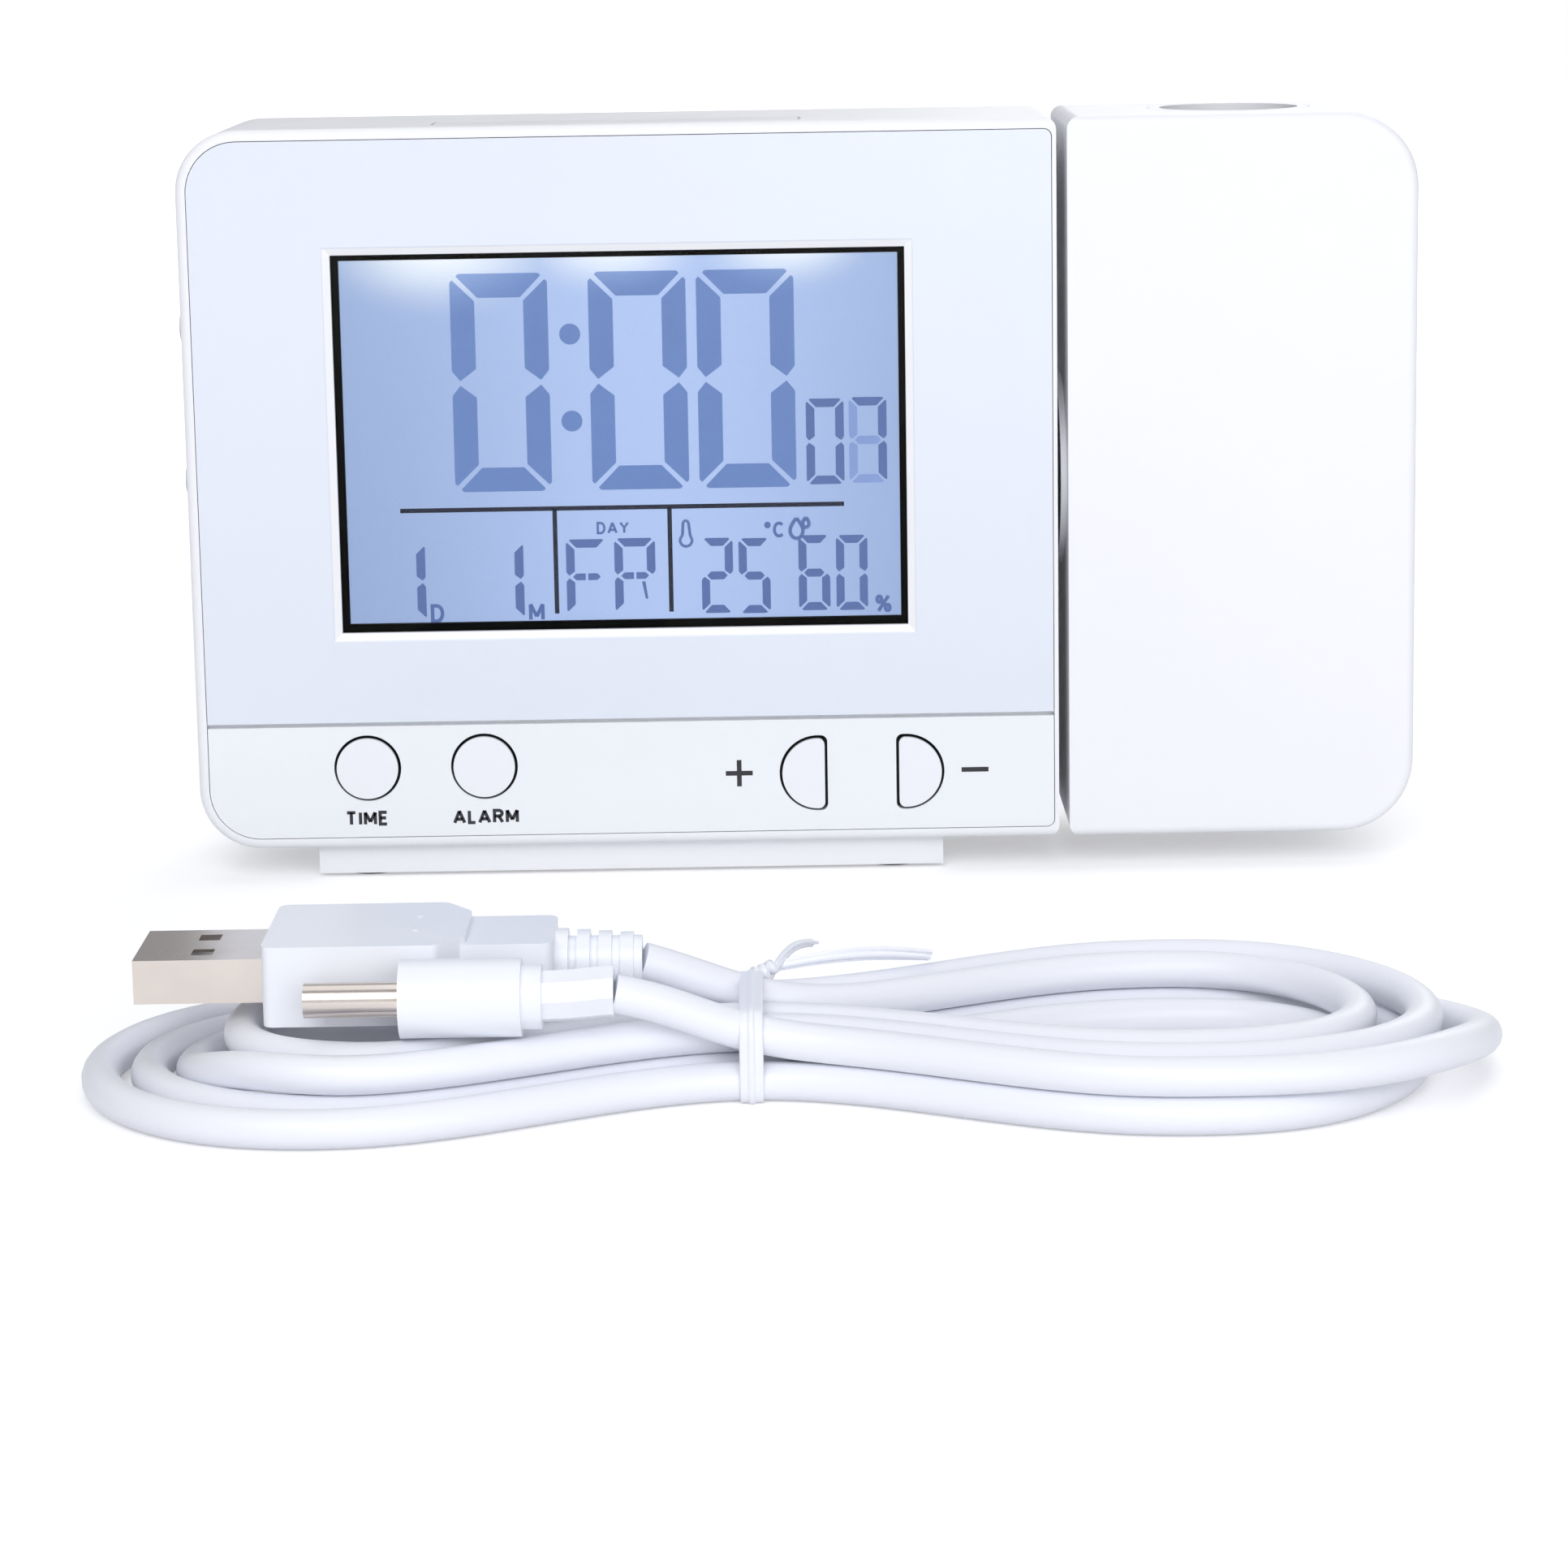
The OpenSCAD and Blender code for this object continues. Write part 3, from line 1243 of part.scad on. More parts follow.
// The projector's leads: from under the lamp's board, up beside the light box and through the hub
module projector_wires() {
    color([0.8, 0.2, 0.2]) tube([for (p = wire_route) [flange_end, mid_y, mid_z] + p], wire_r);
}

// Their short continuation to the socket on the clock's board
module clock_wires() {
    color([0.8, 0.2, 0.2]) tube([
        [hub_end + 0.7, mid_y, mid_z], [hub_end - 2, mid_y, mid_z], [socket_x + 4.1, mid_y, mid_z]
    ], wire_r);
}

// The ring let into the top round the lens opening
module lens_bezel() {
    color(white) difference() {
        rod_z(proj_x, axis_y, bezel_r, top_z - bezel_t, top_z);
        rod_z(proj_x, axis_y, barrel_r + slide_fit, top_z - 3, top_z + 1);
    }
}

// The thumb wheel: ribbed outside, and cut inside with a two-start groove for the barrel's thread
module focus_wheel() {
    groove = 0.22;
    turns_below = ceil((rib_z - wheel_z + 1) / thread_lead);
    turns_above = (wheel_top - rib_z + 2) / thread_lead;
    color(dark) difference() {
        translate([proj_x, axis_y, wheel_z]) linear_extrude(wheel_w) difference() {
            circle(wheel_r);
            for (i = [0:wheel_grips - 1]) rotate(360 * i / wheel_grips) translate([wheel_r + 0.15, 0]) circle(0.5);
        }
        rod_z(proj_x, axis_y, wheel_bore, wheel_z - 1, wheel_top + 1);
        rod_z(proj_x, axis_y, collar_r + run_fit, wheel_z - 1, wheel_z + 2);
        for (start = [0, 180]) translate([proj_x, axis_y, 0])
            thread(wheel_bore - 0.5, barrel_r + thread_h + groove, thread_w + 2 * groove,
                   thread_w * 0.7 + 2 * groove, thread_lead, turns_below + turns_above, start,
                   rib_z - turns_below * thread_lead);
    }
}

// The sliding barrel: a tube with the thread, two keys, and a seat for the lens
module lens_barrel() {
    color(dark) {
        difference() {
            rod_z(proj_x, axis_y, barrel_r, barrel_z, barrel_top);
            rod_z(proj_x, axis_y, barrel_r - 1.6, barrel_z - 1, barrel_top + 1);
            rod_z(proj_x, axis_y, lens_r + seat_fit, lens_seat, barrel_top + 1);
        }
        for (s = [-1, 1])
            box(proj_x - barrel_key_w / 2, proj_x + barrel_key_w / 2, axis_y + s * 8.6 - 0.9,
                axis_y + s * 8.6 + 0.9, barrel_z, barrel_z + 5);
        for (start = [0, 180]) translate([proj_x, axis_y, 0])
            thread(barrel_r - 0.3, barrel_r + thread_h, thread_w, thread_w * 0.7, thread_lead, rib_turns, start, rib_z);
    }
}

module projection_lens() {
    color(clear) translate([proj_x, axis_y, lens_seat]) dome_lens(lens_r, 1.6, 1.8);
}

module lens_ring() {
    color(steel) difference() {
        rod_z(proj_x, axis_y, lens_r, lens_seat + 3.6, lens_seat + 4.8);
        rod_z(proj_x, axis_y, lens_r - 1.3, lens_seat, barrel_top + 1);
    }
}

// ---- USB cable ----

// The tied hank: two lobes and a waist, with a groove where the tie goes round
module cable_hank() {
    left_r = hank_w / 2;
    right_r = hank_w * 0.44;
    waist = [4, hank_waist];
    color(white) difference() {
        along_z(0, hank_h) {
            hull() {
                translate([hank_x - hank_l / 2 + left_r, hank_y]) circle(left_r);
                translate([waist_x, hank_y]) square(waist, center = true);
            }
            hull() {
                translate([hank_x + hank_l / 2 - right_r, hank_y]) circle(right_r);
                translate([waist_x, hank_y]) square(waist, center = true);
            }
        }
        difference() {
            box(waist_x - tie_w / 2 - 0.1, waist_x + tie_w / 2 + 0.1, hank_y - hank_w, hank_y + hank_w, -1, hank_h + 1);
            box(waist_x - tie_w, waist_x + tie_w, hank_y - hank_waist / 2 + tie_t, hank_y + hank_waist / 2 - tie_t,
                tie_t + 0.1, hank_h - tie_t - 0.1);
        }
    }
}

// The two short stretches of cable between the plugs and the hank's waist
module cable_leads() {
    color(white) tube(usb_lead_route, lead_r);
    color(white) tube(second_lead_route, lead_r);
}

// The plug's metal shell, folded round an open front, with two latch windows
module usb_shell() {
    x0 = plug_at[0];
    color(steel) difference() {
        box(x0, x0 + shell_l, plug_at[1] - shell_w / 2, plug_at[1] + shell_w / 2,
            plug_z - shell_h / 2, plug_z + shell_h / 2);
        box(x0 - 1, x0 + shell_l + 1, plug_at[1] - shell_w / 2 + shell_t, plug_at[1] + shell_w / 2 - shell_t,
            plug_z - shell_h / 2 + shell_t, plug_z + shell_h / 2 - shell_t);
        for (s = [-1, 1])
            box(x0 + 5.6, x0 + 7.8, plug_at[1] + s * 2.9 - 1.15, plug_at[1] + s * 2.9 + 1.15,
                plug_z - shell_h, plug_z + shell_h);
    }
}

// The moulded grip of the plug, its tongue and its ribbed strain relief
module usb_plug() {
    x0 = plug_at[0] + shell_l;
    color(white) translate([0, plug_at[1], 0]) {
        difference() {
            along_z(hank_h, hank_h + plug_h) hull() {
                translate([x0 + 9, 0]) slot_rect(18, plug_w, 1.2);
                translate([x0 + 12, 0]) slot_rect(16.4, plug_neck_w, 1.2);
            }
            for (s = [-1, 1]) rod_z(x0 + 15, s * 2.8, dimple_r, hank_h + plug_h - dimple_deep, hank_h + plug_h + 1);
        }
        along_z(hank_h + 0.8, hank_h + plug_h - 0.8) translate([x0 + 24, 0]) slot_rect(10, plug_neck_w, 1.2);
        for (i = [0:3]) rod_x(0, plug_z, 3.3 - 0.15 * i, x0 + 29 + i * relief_l / 4, x0 + 29 + (i + 0.6) * relief_l / 4);
        rod_x(0, plug_z, cable_d / 2 + 0.5, x0 + 28, x0 + 29 + relief_l);
        box(plug_at[0] + 2, x0 + 0.5, -shell_w / 2 + 0.6, shell_w / 2 - 0.6, plug_z - 1.7, plug_z + 0.2);
    }
}

// The moulded grip of the plug that goes into the clock, with its ribbed relief
module barrel_plug() {
    x0 = second_at[0] + tip_l;
    color(white) {
        translate([0, second_at[1], second_z]) {
            rod_x(0, 0, second_r, x0, x0 + 12);
            rod_x(0, 0, second_r - 0.7, x0 + 11.5, x0 + 14);
        }
        tube([[x0 + 13, second_at[1], second_z], [x0 + 16.5, second_at[1] + 0.4, second_z],
            [second_end - 1, second_at[1] + 1.5, second_z],
            [second_end, second_at[1] + 1.5, second_z]], cable_d / 2 + 0.6);
    }
}

// The barrel contact of that plug
module barrel_tip() {
    color(steel) difference() {
        rod_x(second_at[1], second_z, tip_r, second_at[0], second_at[0] + tip_l);
        rod_x(second_at[1], second_z, inlet_pin_r + 0.06, second_at[0] - 1, second_at[0] + tip_l - 1.5);
    }
}

// The tie: a flat band round the waist of the hank and its two twisted tails
module twist_tie() {
    half = hank_waist / 2;
    color(white) {
        difference() {
            box(waist_x - tie_w / 2, waist_x + tie_w / 2, hank_y - half, hank_y + half, 0, hank_h);
            box(waist_x - tie_w, waist_x + tie_w, hank_y - half + tie_t, hank_y + half - tie_t, tie_t, hank_h - tie_t);
        }
        tube([[waist_x, hank_y + half - 2, hank_h + 0.45], [waist_x + 2, hank_y + half - 0.5, hank_h + 1.4],
            [waist_x + 6, hank_y + half + 5, hank_h + 1.8]], 0.6, 6);
        tube([[waist_x, hank_y + half - 3, hank_h + 0.45], [waist_x + 4, hank_y + half - 1.5, hank_h + 1.6],
            [waist_x + 18, hank_y + half + 2.4, hank_h + 1.8]], 0.6, 6);
    }
}

front_shell();
face_plate();
key_plate();
lcd_window();
lcd_gasket();
lcd_cell();
light_guide();
backlight_leds();
lcd_holder();
zebra_strip();
main_board();
board_parts();
key_switches();
board_screws();
buzzer();
climate_sensor();
rear_shell();
battery_contacts();
battery_cells();
battery_door();
power_inlet();
case_screws();
foot();
foot_pads();
foot_screws();
hub_bush();
time_key();
alarm_key();
plus_key();
minus_key();
upper_side_key();
lower_side_key();
snooze_bar();
projector_front_shell();
projector_rear_shell();
projector_screws();
hub_shaft();
hub_clip();
wave_washer();
friction_washer();
optics_frame();
optics_screws();
led_board();
projector_led();
condenser_lens();
projector_lcd();
projector_wires();
clock_wires();
lens_bezel();
focus_wheel();
lens_barrel();
projection_lens();
lens_ring();
cable_hank();
cable_leads();
usb_shell();
usb_plug();
barrel_plug();
barrel_tip();
twist_tie();
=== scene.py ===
"""Looks for a projection alarm clock: finishes, display, lettering, lead, tie and studio.

Every length is in metres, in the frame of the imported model.
"""

import logging
import math
from dataclasses import dataclass, field
from enum import Enum

import bmesh
import bpy
from mathutils import Matrix, Vector

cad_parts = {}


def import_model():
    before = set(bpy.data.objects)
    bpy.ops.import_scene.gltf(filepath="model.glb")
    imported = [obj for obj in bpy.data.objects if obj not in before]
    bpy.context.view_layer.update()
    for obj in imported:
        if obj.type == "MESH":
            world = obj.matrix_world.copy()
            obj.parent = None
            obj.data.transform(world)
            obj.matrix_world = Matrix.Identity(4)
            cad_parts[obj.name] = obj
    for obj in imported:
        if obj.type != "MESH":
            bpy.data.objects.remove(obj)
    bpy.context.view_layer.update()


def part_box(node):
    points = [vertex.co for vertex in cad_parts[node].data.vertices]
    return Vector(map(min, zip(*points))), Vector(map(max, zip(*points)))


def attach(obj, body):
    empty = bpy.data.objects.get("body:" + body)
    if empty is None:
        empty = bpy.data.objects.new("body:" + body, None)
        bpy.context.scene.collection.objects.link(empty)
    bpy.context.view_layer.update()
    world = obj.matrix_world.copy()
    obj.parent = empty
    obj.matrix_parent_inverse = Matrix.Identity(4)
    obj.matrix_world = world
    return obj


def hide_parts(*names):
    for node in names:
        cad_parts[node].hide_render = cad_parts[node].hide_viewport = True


LOG = logging.getLogger("projection_clock")
MM = 0.001
Socket = bpy.types.NodeSocket
Rgb = tuple[int, int, int]
Linear = tuple[float, float, float, float]
Point = tuple[float, float, float]
Outline = list[tuple[float, float]]


def linear(colour: Rgb) -> Linear:
    """Turn a display colour, 0 to 255, into a linear one with an alpha of 1."""
    shares = [value / 255 for value in colour]
    return tuple(s / 12.92 if s <= 0.04045 else ((s + 0.055) / 1.055) ** 2.4 for s in shares) + (1.0,)


def scaled(colour: Linear, share: float) -> Linear:
    """Darken or lighten a linear colour, at most to white."""
    return tuple(min(1.0, value * share) for value in colour[:3]) + (1.0,)


def smooth_step(share: float) -> float:
    """Ease from 0 to 1 as share goes from 0 to 1."""
    share = min(1.0, max(0.0, share))
    return share * share * (3 - 2 * share)


def ring(count: int) -> list[float]:
    """Divide a full turn into equal angles."""
    return [2 * math.pi * k / count for k in range(count)]


def linked(name: str, data: bpy.types.ID) -> bpy.types.Object:
    """Make an object and put it into the scene."""
    obj = bpy.data.objects.new(name, data)
    bpy.context.scene.collection.objects.link(obj)
    return obj


def dressed(obj: bpy.types.Object, material: bpy.types.Material) -> None:
    """Give an object one material in place of its own."""
    obj.data.materials.clear()
    obj.data.materials.append(material)


# ---------------------------------------------------------------- node trees


class Shader:
    """A node tree with short calls for adding and joining nodes."""

    def __init__(self, tree: bpy.types.NodeTree) -> None:
        """Wrap a tree."""
        self.tree = tree

    def plug(self, value: object, target: Socket) -> None:
        """Feed an input.

        Args:
            value: A socket to link, or a plain value.
            target: The input.
        """
        if isinstance(value, Socket):
            self.tree.links.new(value, target)
        else:
            target.default_value = value

    def put(self, node: bpy.types.Node, **values: object) -> None:
        """Set a node's properties and feed its inputs.

        Args:
            node: The node.
            **values: Properties, or inputs whose name has _ for a blank.
        """
        for name, value in values.items():
            if hasattr(node, name):
                setattr(node, name, value)
            else:
                self.plug(value, node.inputs[name.replace("_", " ")])

    def add(self, kind: str, **values: object) -> bpy.types.Node:
        """Add a node.

        Args:
            kind: The node's type.
            **values: Its properties and inputs.

        Returns:
            The new node.
        """
        node = self.tree.nodes.new(kind)
        self.put(node, **values)
        return node

    def maths(self, operation: str, *terms: object, kind: str = "ShaderNodeMath", out: int = 0) -> Socket:
        """Add a Math node, or one of its relatives.

        Args:
            operation: The node's operation.
            *terms: Numbers, vectors or sockets.
            kind: The node's type.
            out: Which of its outputs is wanted.

        Returns:
            The result.
        """
        node = self.add(kind, operation=operation)
        for term, target in zip(terms, node.inputs):
            self.plug(term, target)
        return node.outputs[out]

    def vectors(self, operation: str, *terms: object, out: int = 0) -> Socket:
        """Add a Vector Math node."""
        return self.maths(operation, *terms, kind="ShaderNodeVectorMath", out=out)

    def mix(self, factor: object, first: object, second: object) -> Socket:
        """Mix two colours.

        Args:
            factor: Share of the second colour.
            first: First colour.
            second: Second colour.

        Returns:
            The mixed colour.
        """
        node = self.add("ShaderNodeMix", data_type="RGBA")
        for term, place in ((factor, 0), (first, 6), (second, 7)):
            self.plug(term, node.inputs[place])
        return node.outputs[2]

    def axis(self, place: Socket, name: str) -> Socket:
        """Take one coordinate, X, Y or Z, out of a vector."""
        return self.add("ShaderNodeSeparateXYZ", Vector=place).outputs[name]

    def ramp(self, value: Socket, low: float, high: float, **values: object) -> Socket:
        """Map a value to 0 at low and to 1 at high, unless told otherwise."""
        node = self.add("ShaderNodeMapRange", Value=value, From_Min=low, From_Max=high, **values)
        return node.outputs["Result"]

    def noise(self, place: Socket, **values: object) -> Socket:
        """Add a noise texture."""
        return self.add("ShaderNodeTexNoise", Vector=place, **values).outputs["Fac"]


class GroupName(Enum):
    """The shader groups that finishes share."""

    SATIN = "satin_moulding"
    DRAWN = "drawn_metal"
    GLOW = "lamp_glow"


Groups = dict[GroupName, bpy.types.NodeTree]


class Group(Shader):
    """A shader group that takes a vector and some numbers, and puts out values."""

    def __init__(self, name: GroupName, inputs: dict[str, float], outputs: list[str]) -> None:
        """Start the group.

        Args:
            name: The group's name.
            inputs: Each number's name and default.
            outputs: Names of the values that it puts out.
        """
        super().__init__(bpy.data.node_groups.new(name.value, "ShaderNodeTree"))
        face = self.tree.interface
        face.new_socket("Vector", in_out="INPUT", socket_type="NodeSocketVector")
        for label, value in inputs.items():
            face.new_socket(label, in_out="INPUT", socket_type="NodeSocketFloat").default_value = value
        for label in outputs:
            face.new_socket(label, in_out="OUTPUT", socket_type="NodeSocketFloat")
        self.given = self.add("NodeGroupInput").outputs
        self.place = self.given["Vector"]
        self.sink = self.add("NodeGroupOutput")


def satin_group() -> bpy.types.NodeTree:
    """Build the fine texture of a moulding: grain height, slow tone and handling marks.

    Returns:
        The node group.
    """
    inputs = {"Grain Scale": 2200.0, "Tone Scale": 22.0}
    group = Group(GroupName.SATIN, inputs, ["Height", "Tone", "Marks"])
    mark_scale = group.maths("MULTIPLY", group.given["Tone Scale"], 5.0)
    marks = group.noise(group.place, Scale=mark_scale, Detail=5.0, Roughness=0.65, Distortion=0.8)
    group.put(
        group.sink,
        Height=group.noise(group.place, Scale=group.given["Grain Scale"], Detail=2.0, Roughness=0.6),
        Tone=group.noise(group.place, Scale=group.given["Tone Scale"], Detail=3.0),
        Marks=group.ramp(marks, 0.48, 0.72),
    )
    return group.tree


def drawn_group() -> bpy.types.NodeTree:
    """Build the drawn grain of sheet metal, with faint stains.

    Returns:
        The node group.
    """
    group = Group(GroupName.DRAWN, {"Line Scale": 900.0, "Stretch": 0.04}, ["Height", "Stain"])
    squeeze = group.add("ShaderNodeCombineXYZ", X=group.given["Stretch"], Y=1.0, Z=1.0).outputs[0]
    drawn = group.vectors("MULTIPLY", group.place, squeeze)
    group.put(
        group.sink,
        Height=group.noise(drawn, Scale=group.given["Line Scale"], Detail=3.0, Roughness=0.7),
        Stain=group.noise(group.place, Scale=160.0, Detail=4.0),
    )
    return group.tree


def glow_group(lamps: tuple[tuple[Point, float], ...], strip_h: float) -> bpy.types.NodeTree:
    """Build the glow that the lamps above a lit panel throw down it.

    Args:
        lamps: Each lamp's place and how far its glow reaches down.
        strip_h: Height of the bright strip between the lamps.

    Returns:
        The node group.
    """
    group = Group(GroupName.GLOW, {"Flatness": 0.62, "Strip": 0.5}, ["Glow"])
    squeeze = group.add("ShaderNodeCombineXYZ", X=group.given["Flatness"], Z=1.0).outputs[0]
    top = lamps[0][0][2]
    strip = group.ramp(group.axis(group.place, "Z"), top - strip_h, top)
    total = group.maths("MULTIPLY", strip, group.given["Strip"])
    for lamp, reach in lamps:
        flat = group.vectors("MULTIPLY", group.vectors("SUBTRACT", group.place, lamp), squeeze)
        away = group.vectors("LENGTH", flat, out=1)
        near = group.ramp(away, reach, 0.0, interpolation_type="SMOOTHERSTEP")
        total = group.maths("MAXIMUM", total, near)
    group.put(group.sink, Glow=total)
    return group.tree


# ---------------------------------------------------------------- finishes


class Easel(Shader):
    """A new material's tree, with its Object coordinates and the shared groups."""

    def __init__(self, name: str, groups: Groups) -> None:
        """Start a material.

        Args:
            name: The material's name.
            groups: The shared groups.
        """
        self.material = bpy.data.materials.new(name)
        self.material.use_nodes = True
        super().__init__(self.material.node_tree)
        self.groups = groups
        self.place = self.add("ShaderNodeTexCoord").outputs["Object"]

    def group(self, which: GroupName, **values: float) -> bpy.types.NodeOutputs:
        """Place a shared group and give what it puts out."""
        return self.add("ShaderNodeGroup", node_tree=self.groups[which], Vector=self.place, **values).outputs

    def surface(self, **values: object) -> None:
        """Feed the Principled node."""
        self.put(self.tree.nodes["Principled BSDF"], **values)

    def bump(self, height: Socket, strength: float, depth: float, **values: object) -> None:
        """Raise the surface by a height, with the depth in metres."""
        bump = self.add("ShaderNodeBump", Height=height, Strength=strength, Distance=depth, **values)
        self.surface(Normal=bump.outputs["Normal"])

    def worn(self, marks: Socket, gain: float, roughness: float) -> Socket:
        """Roughen a surface by a gain where it has marks."""
        return self.maths("MULTIPLY_ADD", marks, gain, roughness)


@dataclass(frozen=True)
class Finish:
    """A named material, which each kind of finish paints in its own way."""

    name: str

    def build(self, groups: Groups) -> bpy.types.Material:
        """Make the material.

        Args:
            groups: The shared groups.

        Returns:
            The material.
        """
        easel = Easel(self.name, groups)
        self.paint(easel)
        return easel.material

    def paint(self, easel: Easel) -> None:
        """Paint the new material, which stays plain here."""


@dataclass(frozen=True)
class Moulding(Finish):
    """A moulded plastic, from satin to glossy, with grain and handling marks."""

    colour: Rgb
    roughness: float = 0.42
    grain_depth: float = 0.012
    grain_scale: float = 2200.0
    shade: float = 0.05
    wear: float = 0.08
    coat: float = 0.0
    coat_roughness: float = 0.12
    shine: float = 0.5
    ior: float = 1.5
    relief: float = 0.35

    def paint(self, easel: Easel) -> None:
        """Paint slow tones, marks and grain.

        Args:
            easel: The new material.
        """
        satin = easel.group(GroupName.SATIN, Grain_Scale=self.grain_scale)
        base = linear(self.colour)
        easel.surface(
            Base_Color=self.over(easel, easel.mix(satin["Tone"], base, scaled(base, 1 - self.shade))),
            Roughness=easel.worn(satin["Marks"], self.wear, self.roughness), IOR=self.ior,
            Specular_IOR_Level=self.shine, Coat_Weight=self.coat, Coat_Roughness=self.coat_roughness,
        )
        easel.bump(satin["Height"], self.relief, self.grain_depth * MM)

    def over(self, easel: Easel, toned: Socket) -> Socket:
        """Leave the moulding's colour as it is."""
        return toned


@dataclass(frozen=True)
class EdgeLightAndShadeMoulding(Moulding):
    """A moulding of its own colour in front, whose faces further back are painted another colour as painted
    light: a painted highlight on the face plate's bevel round the display window, painted shade on the front
    keys' sides in their gaps.
    """

    # core: colour of the faces behind the front; near-white by default as a painted highlight, dark on the
    # front keys as painted shade.
    core: Rgb = (250, 251, 254)
    front: float = 0.0
    front_colour_depth: float = 0.06 * MM

    def over(self, easel: Easel, toned: Socket) -> Socket:
        """Paint the faces behind the front in the core colour, which is painted light: a highlight on the face
        plate's bevel, shade on the key sides.

        Args:
            easel: The new material.
            toned: The front's own colour.

        Returns:
            The colour of both.
        """
        back = self.front + self.front_colour_depth
        depth = easel.ramp(easel.axis(easel.place, "Y"), back, back + self.front_colour_depth)
        # Faces behind the front take the core colour: painted highlight on the face plate's bevel, painted
        # shade on the key sides.
        return easel.mix(depth, toned, linear(self.core))


@dataclass(frozen=True)
class CellJacket(Moulding):
    """The printed jacket of a battery cell, between bare metal ends."""

    ends: tuple[float, float] = (0.0, 0.0)
    bare: float = 1.3 * MM
    metal: Rgb = (202, 200, 196)

    def over(self, easel: Easel, toned: Socket) -> Socket:
        """Bare the metal at both ends.

        Args:
            easel: The new material.
            toned: The jacket's colour.

        Returns:
            The colour of both.
        """
        left, right = self.ends
        away = easel.maths("SUBTRACT", easel.axis(easel.place, "X"), (left + right) / 2)
        bared = easel.maths("GREATER_THAN", easel.maths("ABSOLUTE", away), (right - left) / 2 - self.bare)
        easel.surface(Metallic=bared)
        return easel.mix(bared, toned, linear(self.metal))


@dataclass(frozen=True)
class SheetMetal(Finish):
    """A plated or plain metal with drawn grain."""

    colour: Rgb
    roughness: float = 0.22
    wear: float = 0.16
    stained: float = 0.8
    line_depth: float = 0.004
    relief: float = 0.3

    def paint(self, easel: Easel) -> None:
        """Paint the drawn grain and its stains.

        Args:
            easel: The new material.
        """
        drawn = easel.group(GroupName.DRAWN)
        base = linear(self.colour)
        easel.surface(
            Base_Color=easel.mix(drawn["Stain"], base, scaled(base, self.stained)), Metallic=1.0,
            Roughness=easel.worn(drawn["Stain"], self.wear, self.roughness),
        )
        easel.bump(drawn["Height"], self.relief, self.line_depth * MM)


@dataclass(frozen=True)
class ClearPlastic(Finish):
    """A clear sheet or lens."""

    colour: Rgb = (250, 252, 255)
    ior: float = 1.49
    roughness: float = 0.02
    wear: float = 0.015
    mark_scale: float = 40.0

    def paint(self, easel: Easel) -> None:
        """Paint the clear sheet, a little wiped.

        Args:
            easel: The new material.
        """
        marks = easel.group(GroupName.SATIN, Tone_Scale=self.mark_scale)["Marks"]
        easel.surface(
            Base_Color=linear(self.colour), Roughness=easel.worn(marks, self.wear, self.roughness),
            Transmission_Weight=1.0, IOR=self.ior,
        )


@dataclass(frozen=True)
class Backlight(Finish):
    """The lit ground of the display: brighter at the top and in the middle, with a glow at each lamp."""

    top_z: float
    bottom_z: float
    top: Rgb = (152, 174, 212)
    bottom: Rgb = (148, 168, 206)
    glow: Rgb = (248, 253, 255)
    heart: Rgb = (183, 204, 244)
    heart_x: float = -17 * MM
    heart_reach: float = 42 * MM
    heart_share: float = 0.72
    unlit: Linear = (0.02, 0.025, 0.04, 1)
    roughness: float = 0.4
    wear: float = 0.05
    shine: float = 0.15

    def paint(self, easel: Easel) -> None:
        """Paint the light.

        Args:
            easel: The new material.
        """
        rise = easel.ramp(easel.axis(easel.place, "Z"), self.bottom_z, self.top_z)
        ground = easel.mix(rise, linear(self.bottom), linear(self.top))
        off = easel.maths("ABSOLUTE", easel.maths("SUBTRACT", easel.axis(easel.place, "X"), self.heart_x))
        swell = easel.ramp(
            off, self.heart_reach, 0.0, interpolation_type="SMOOTHSTEP", To_Max=self.heart_share
        )
        ground = easel.mix(swell, ground, linear(self.heart))
        ground = easel.mix(easel.group(GroupName.GLOW)["Glow"], ground, linear(self.glow))
        marks = easel.group(GroupName.SATIN)["Marks"]
        easel.surface(
            Base_Color=self.unlit, Emission_Color=ground, Emission_Strength=1.0,
            Specular_IOR_Level=self.shine, Roughness=easel.worn(marks, self.wear, self.roughness),
        )


@dataclass(frozen=True)
class LitInk(Finish):
    """A darkened part of the display, which the backlight still tints."""

    colour: Rgb
    washed: Rgb = (176, 202, 246)
    wash: float = 0.7
    tone_scale: float = 70.0
    pale: float = 1.18
    unlit: Linear = (0.01, 0.012, 0.02, 1)
    roughness: float = 0.5
    shine: float = 0.15

    def paint(self, easel: Easel) -> None:
        """Paint the ink, paler near the lamps.

        Args:
            easel: The new material.
        """
        tone = easel.group(GroupName.SATIN, Tone_Scale=self.tone_scale)["Tone"]
        base = linear(self.colour)
        near = easel.maths("MULTIPLY", easel.group(GroupName.GLOW, Strip=0.0)["Glow"], self.wash)
        lit = easel.mix(near, easel.mix(tone, base, scaled(base, self.pale)), linear(self.washed))
        easel.surface(
            Base_Color=self.unlit, Emission_Color=lit, Emission_Strength=1.0,
            Specular_IOR_Level=self.shine, Roughness=self.roughness,
        )


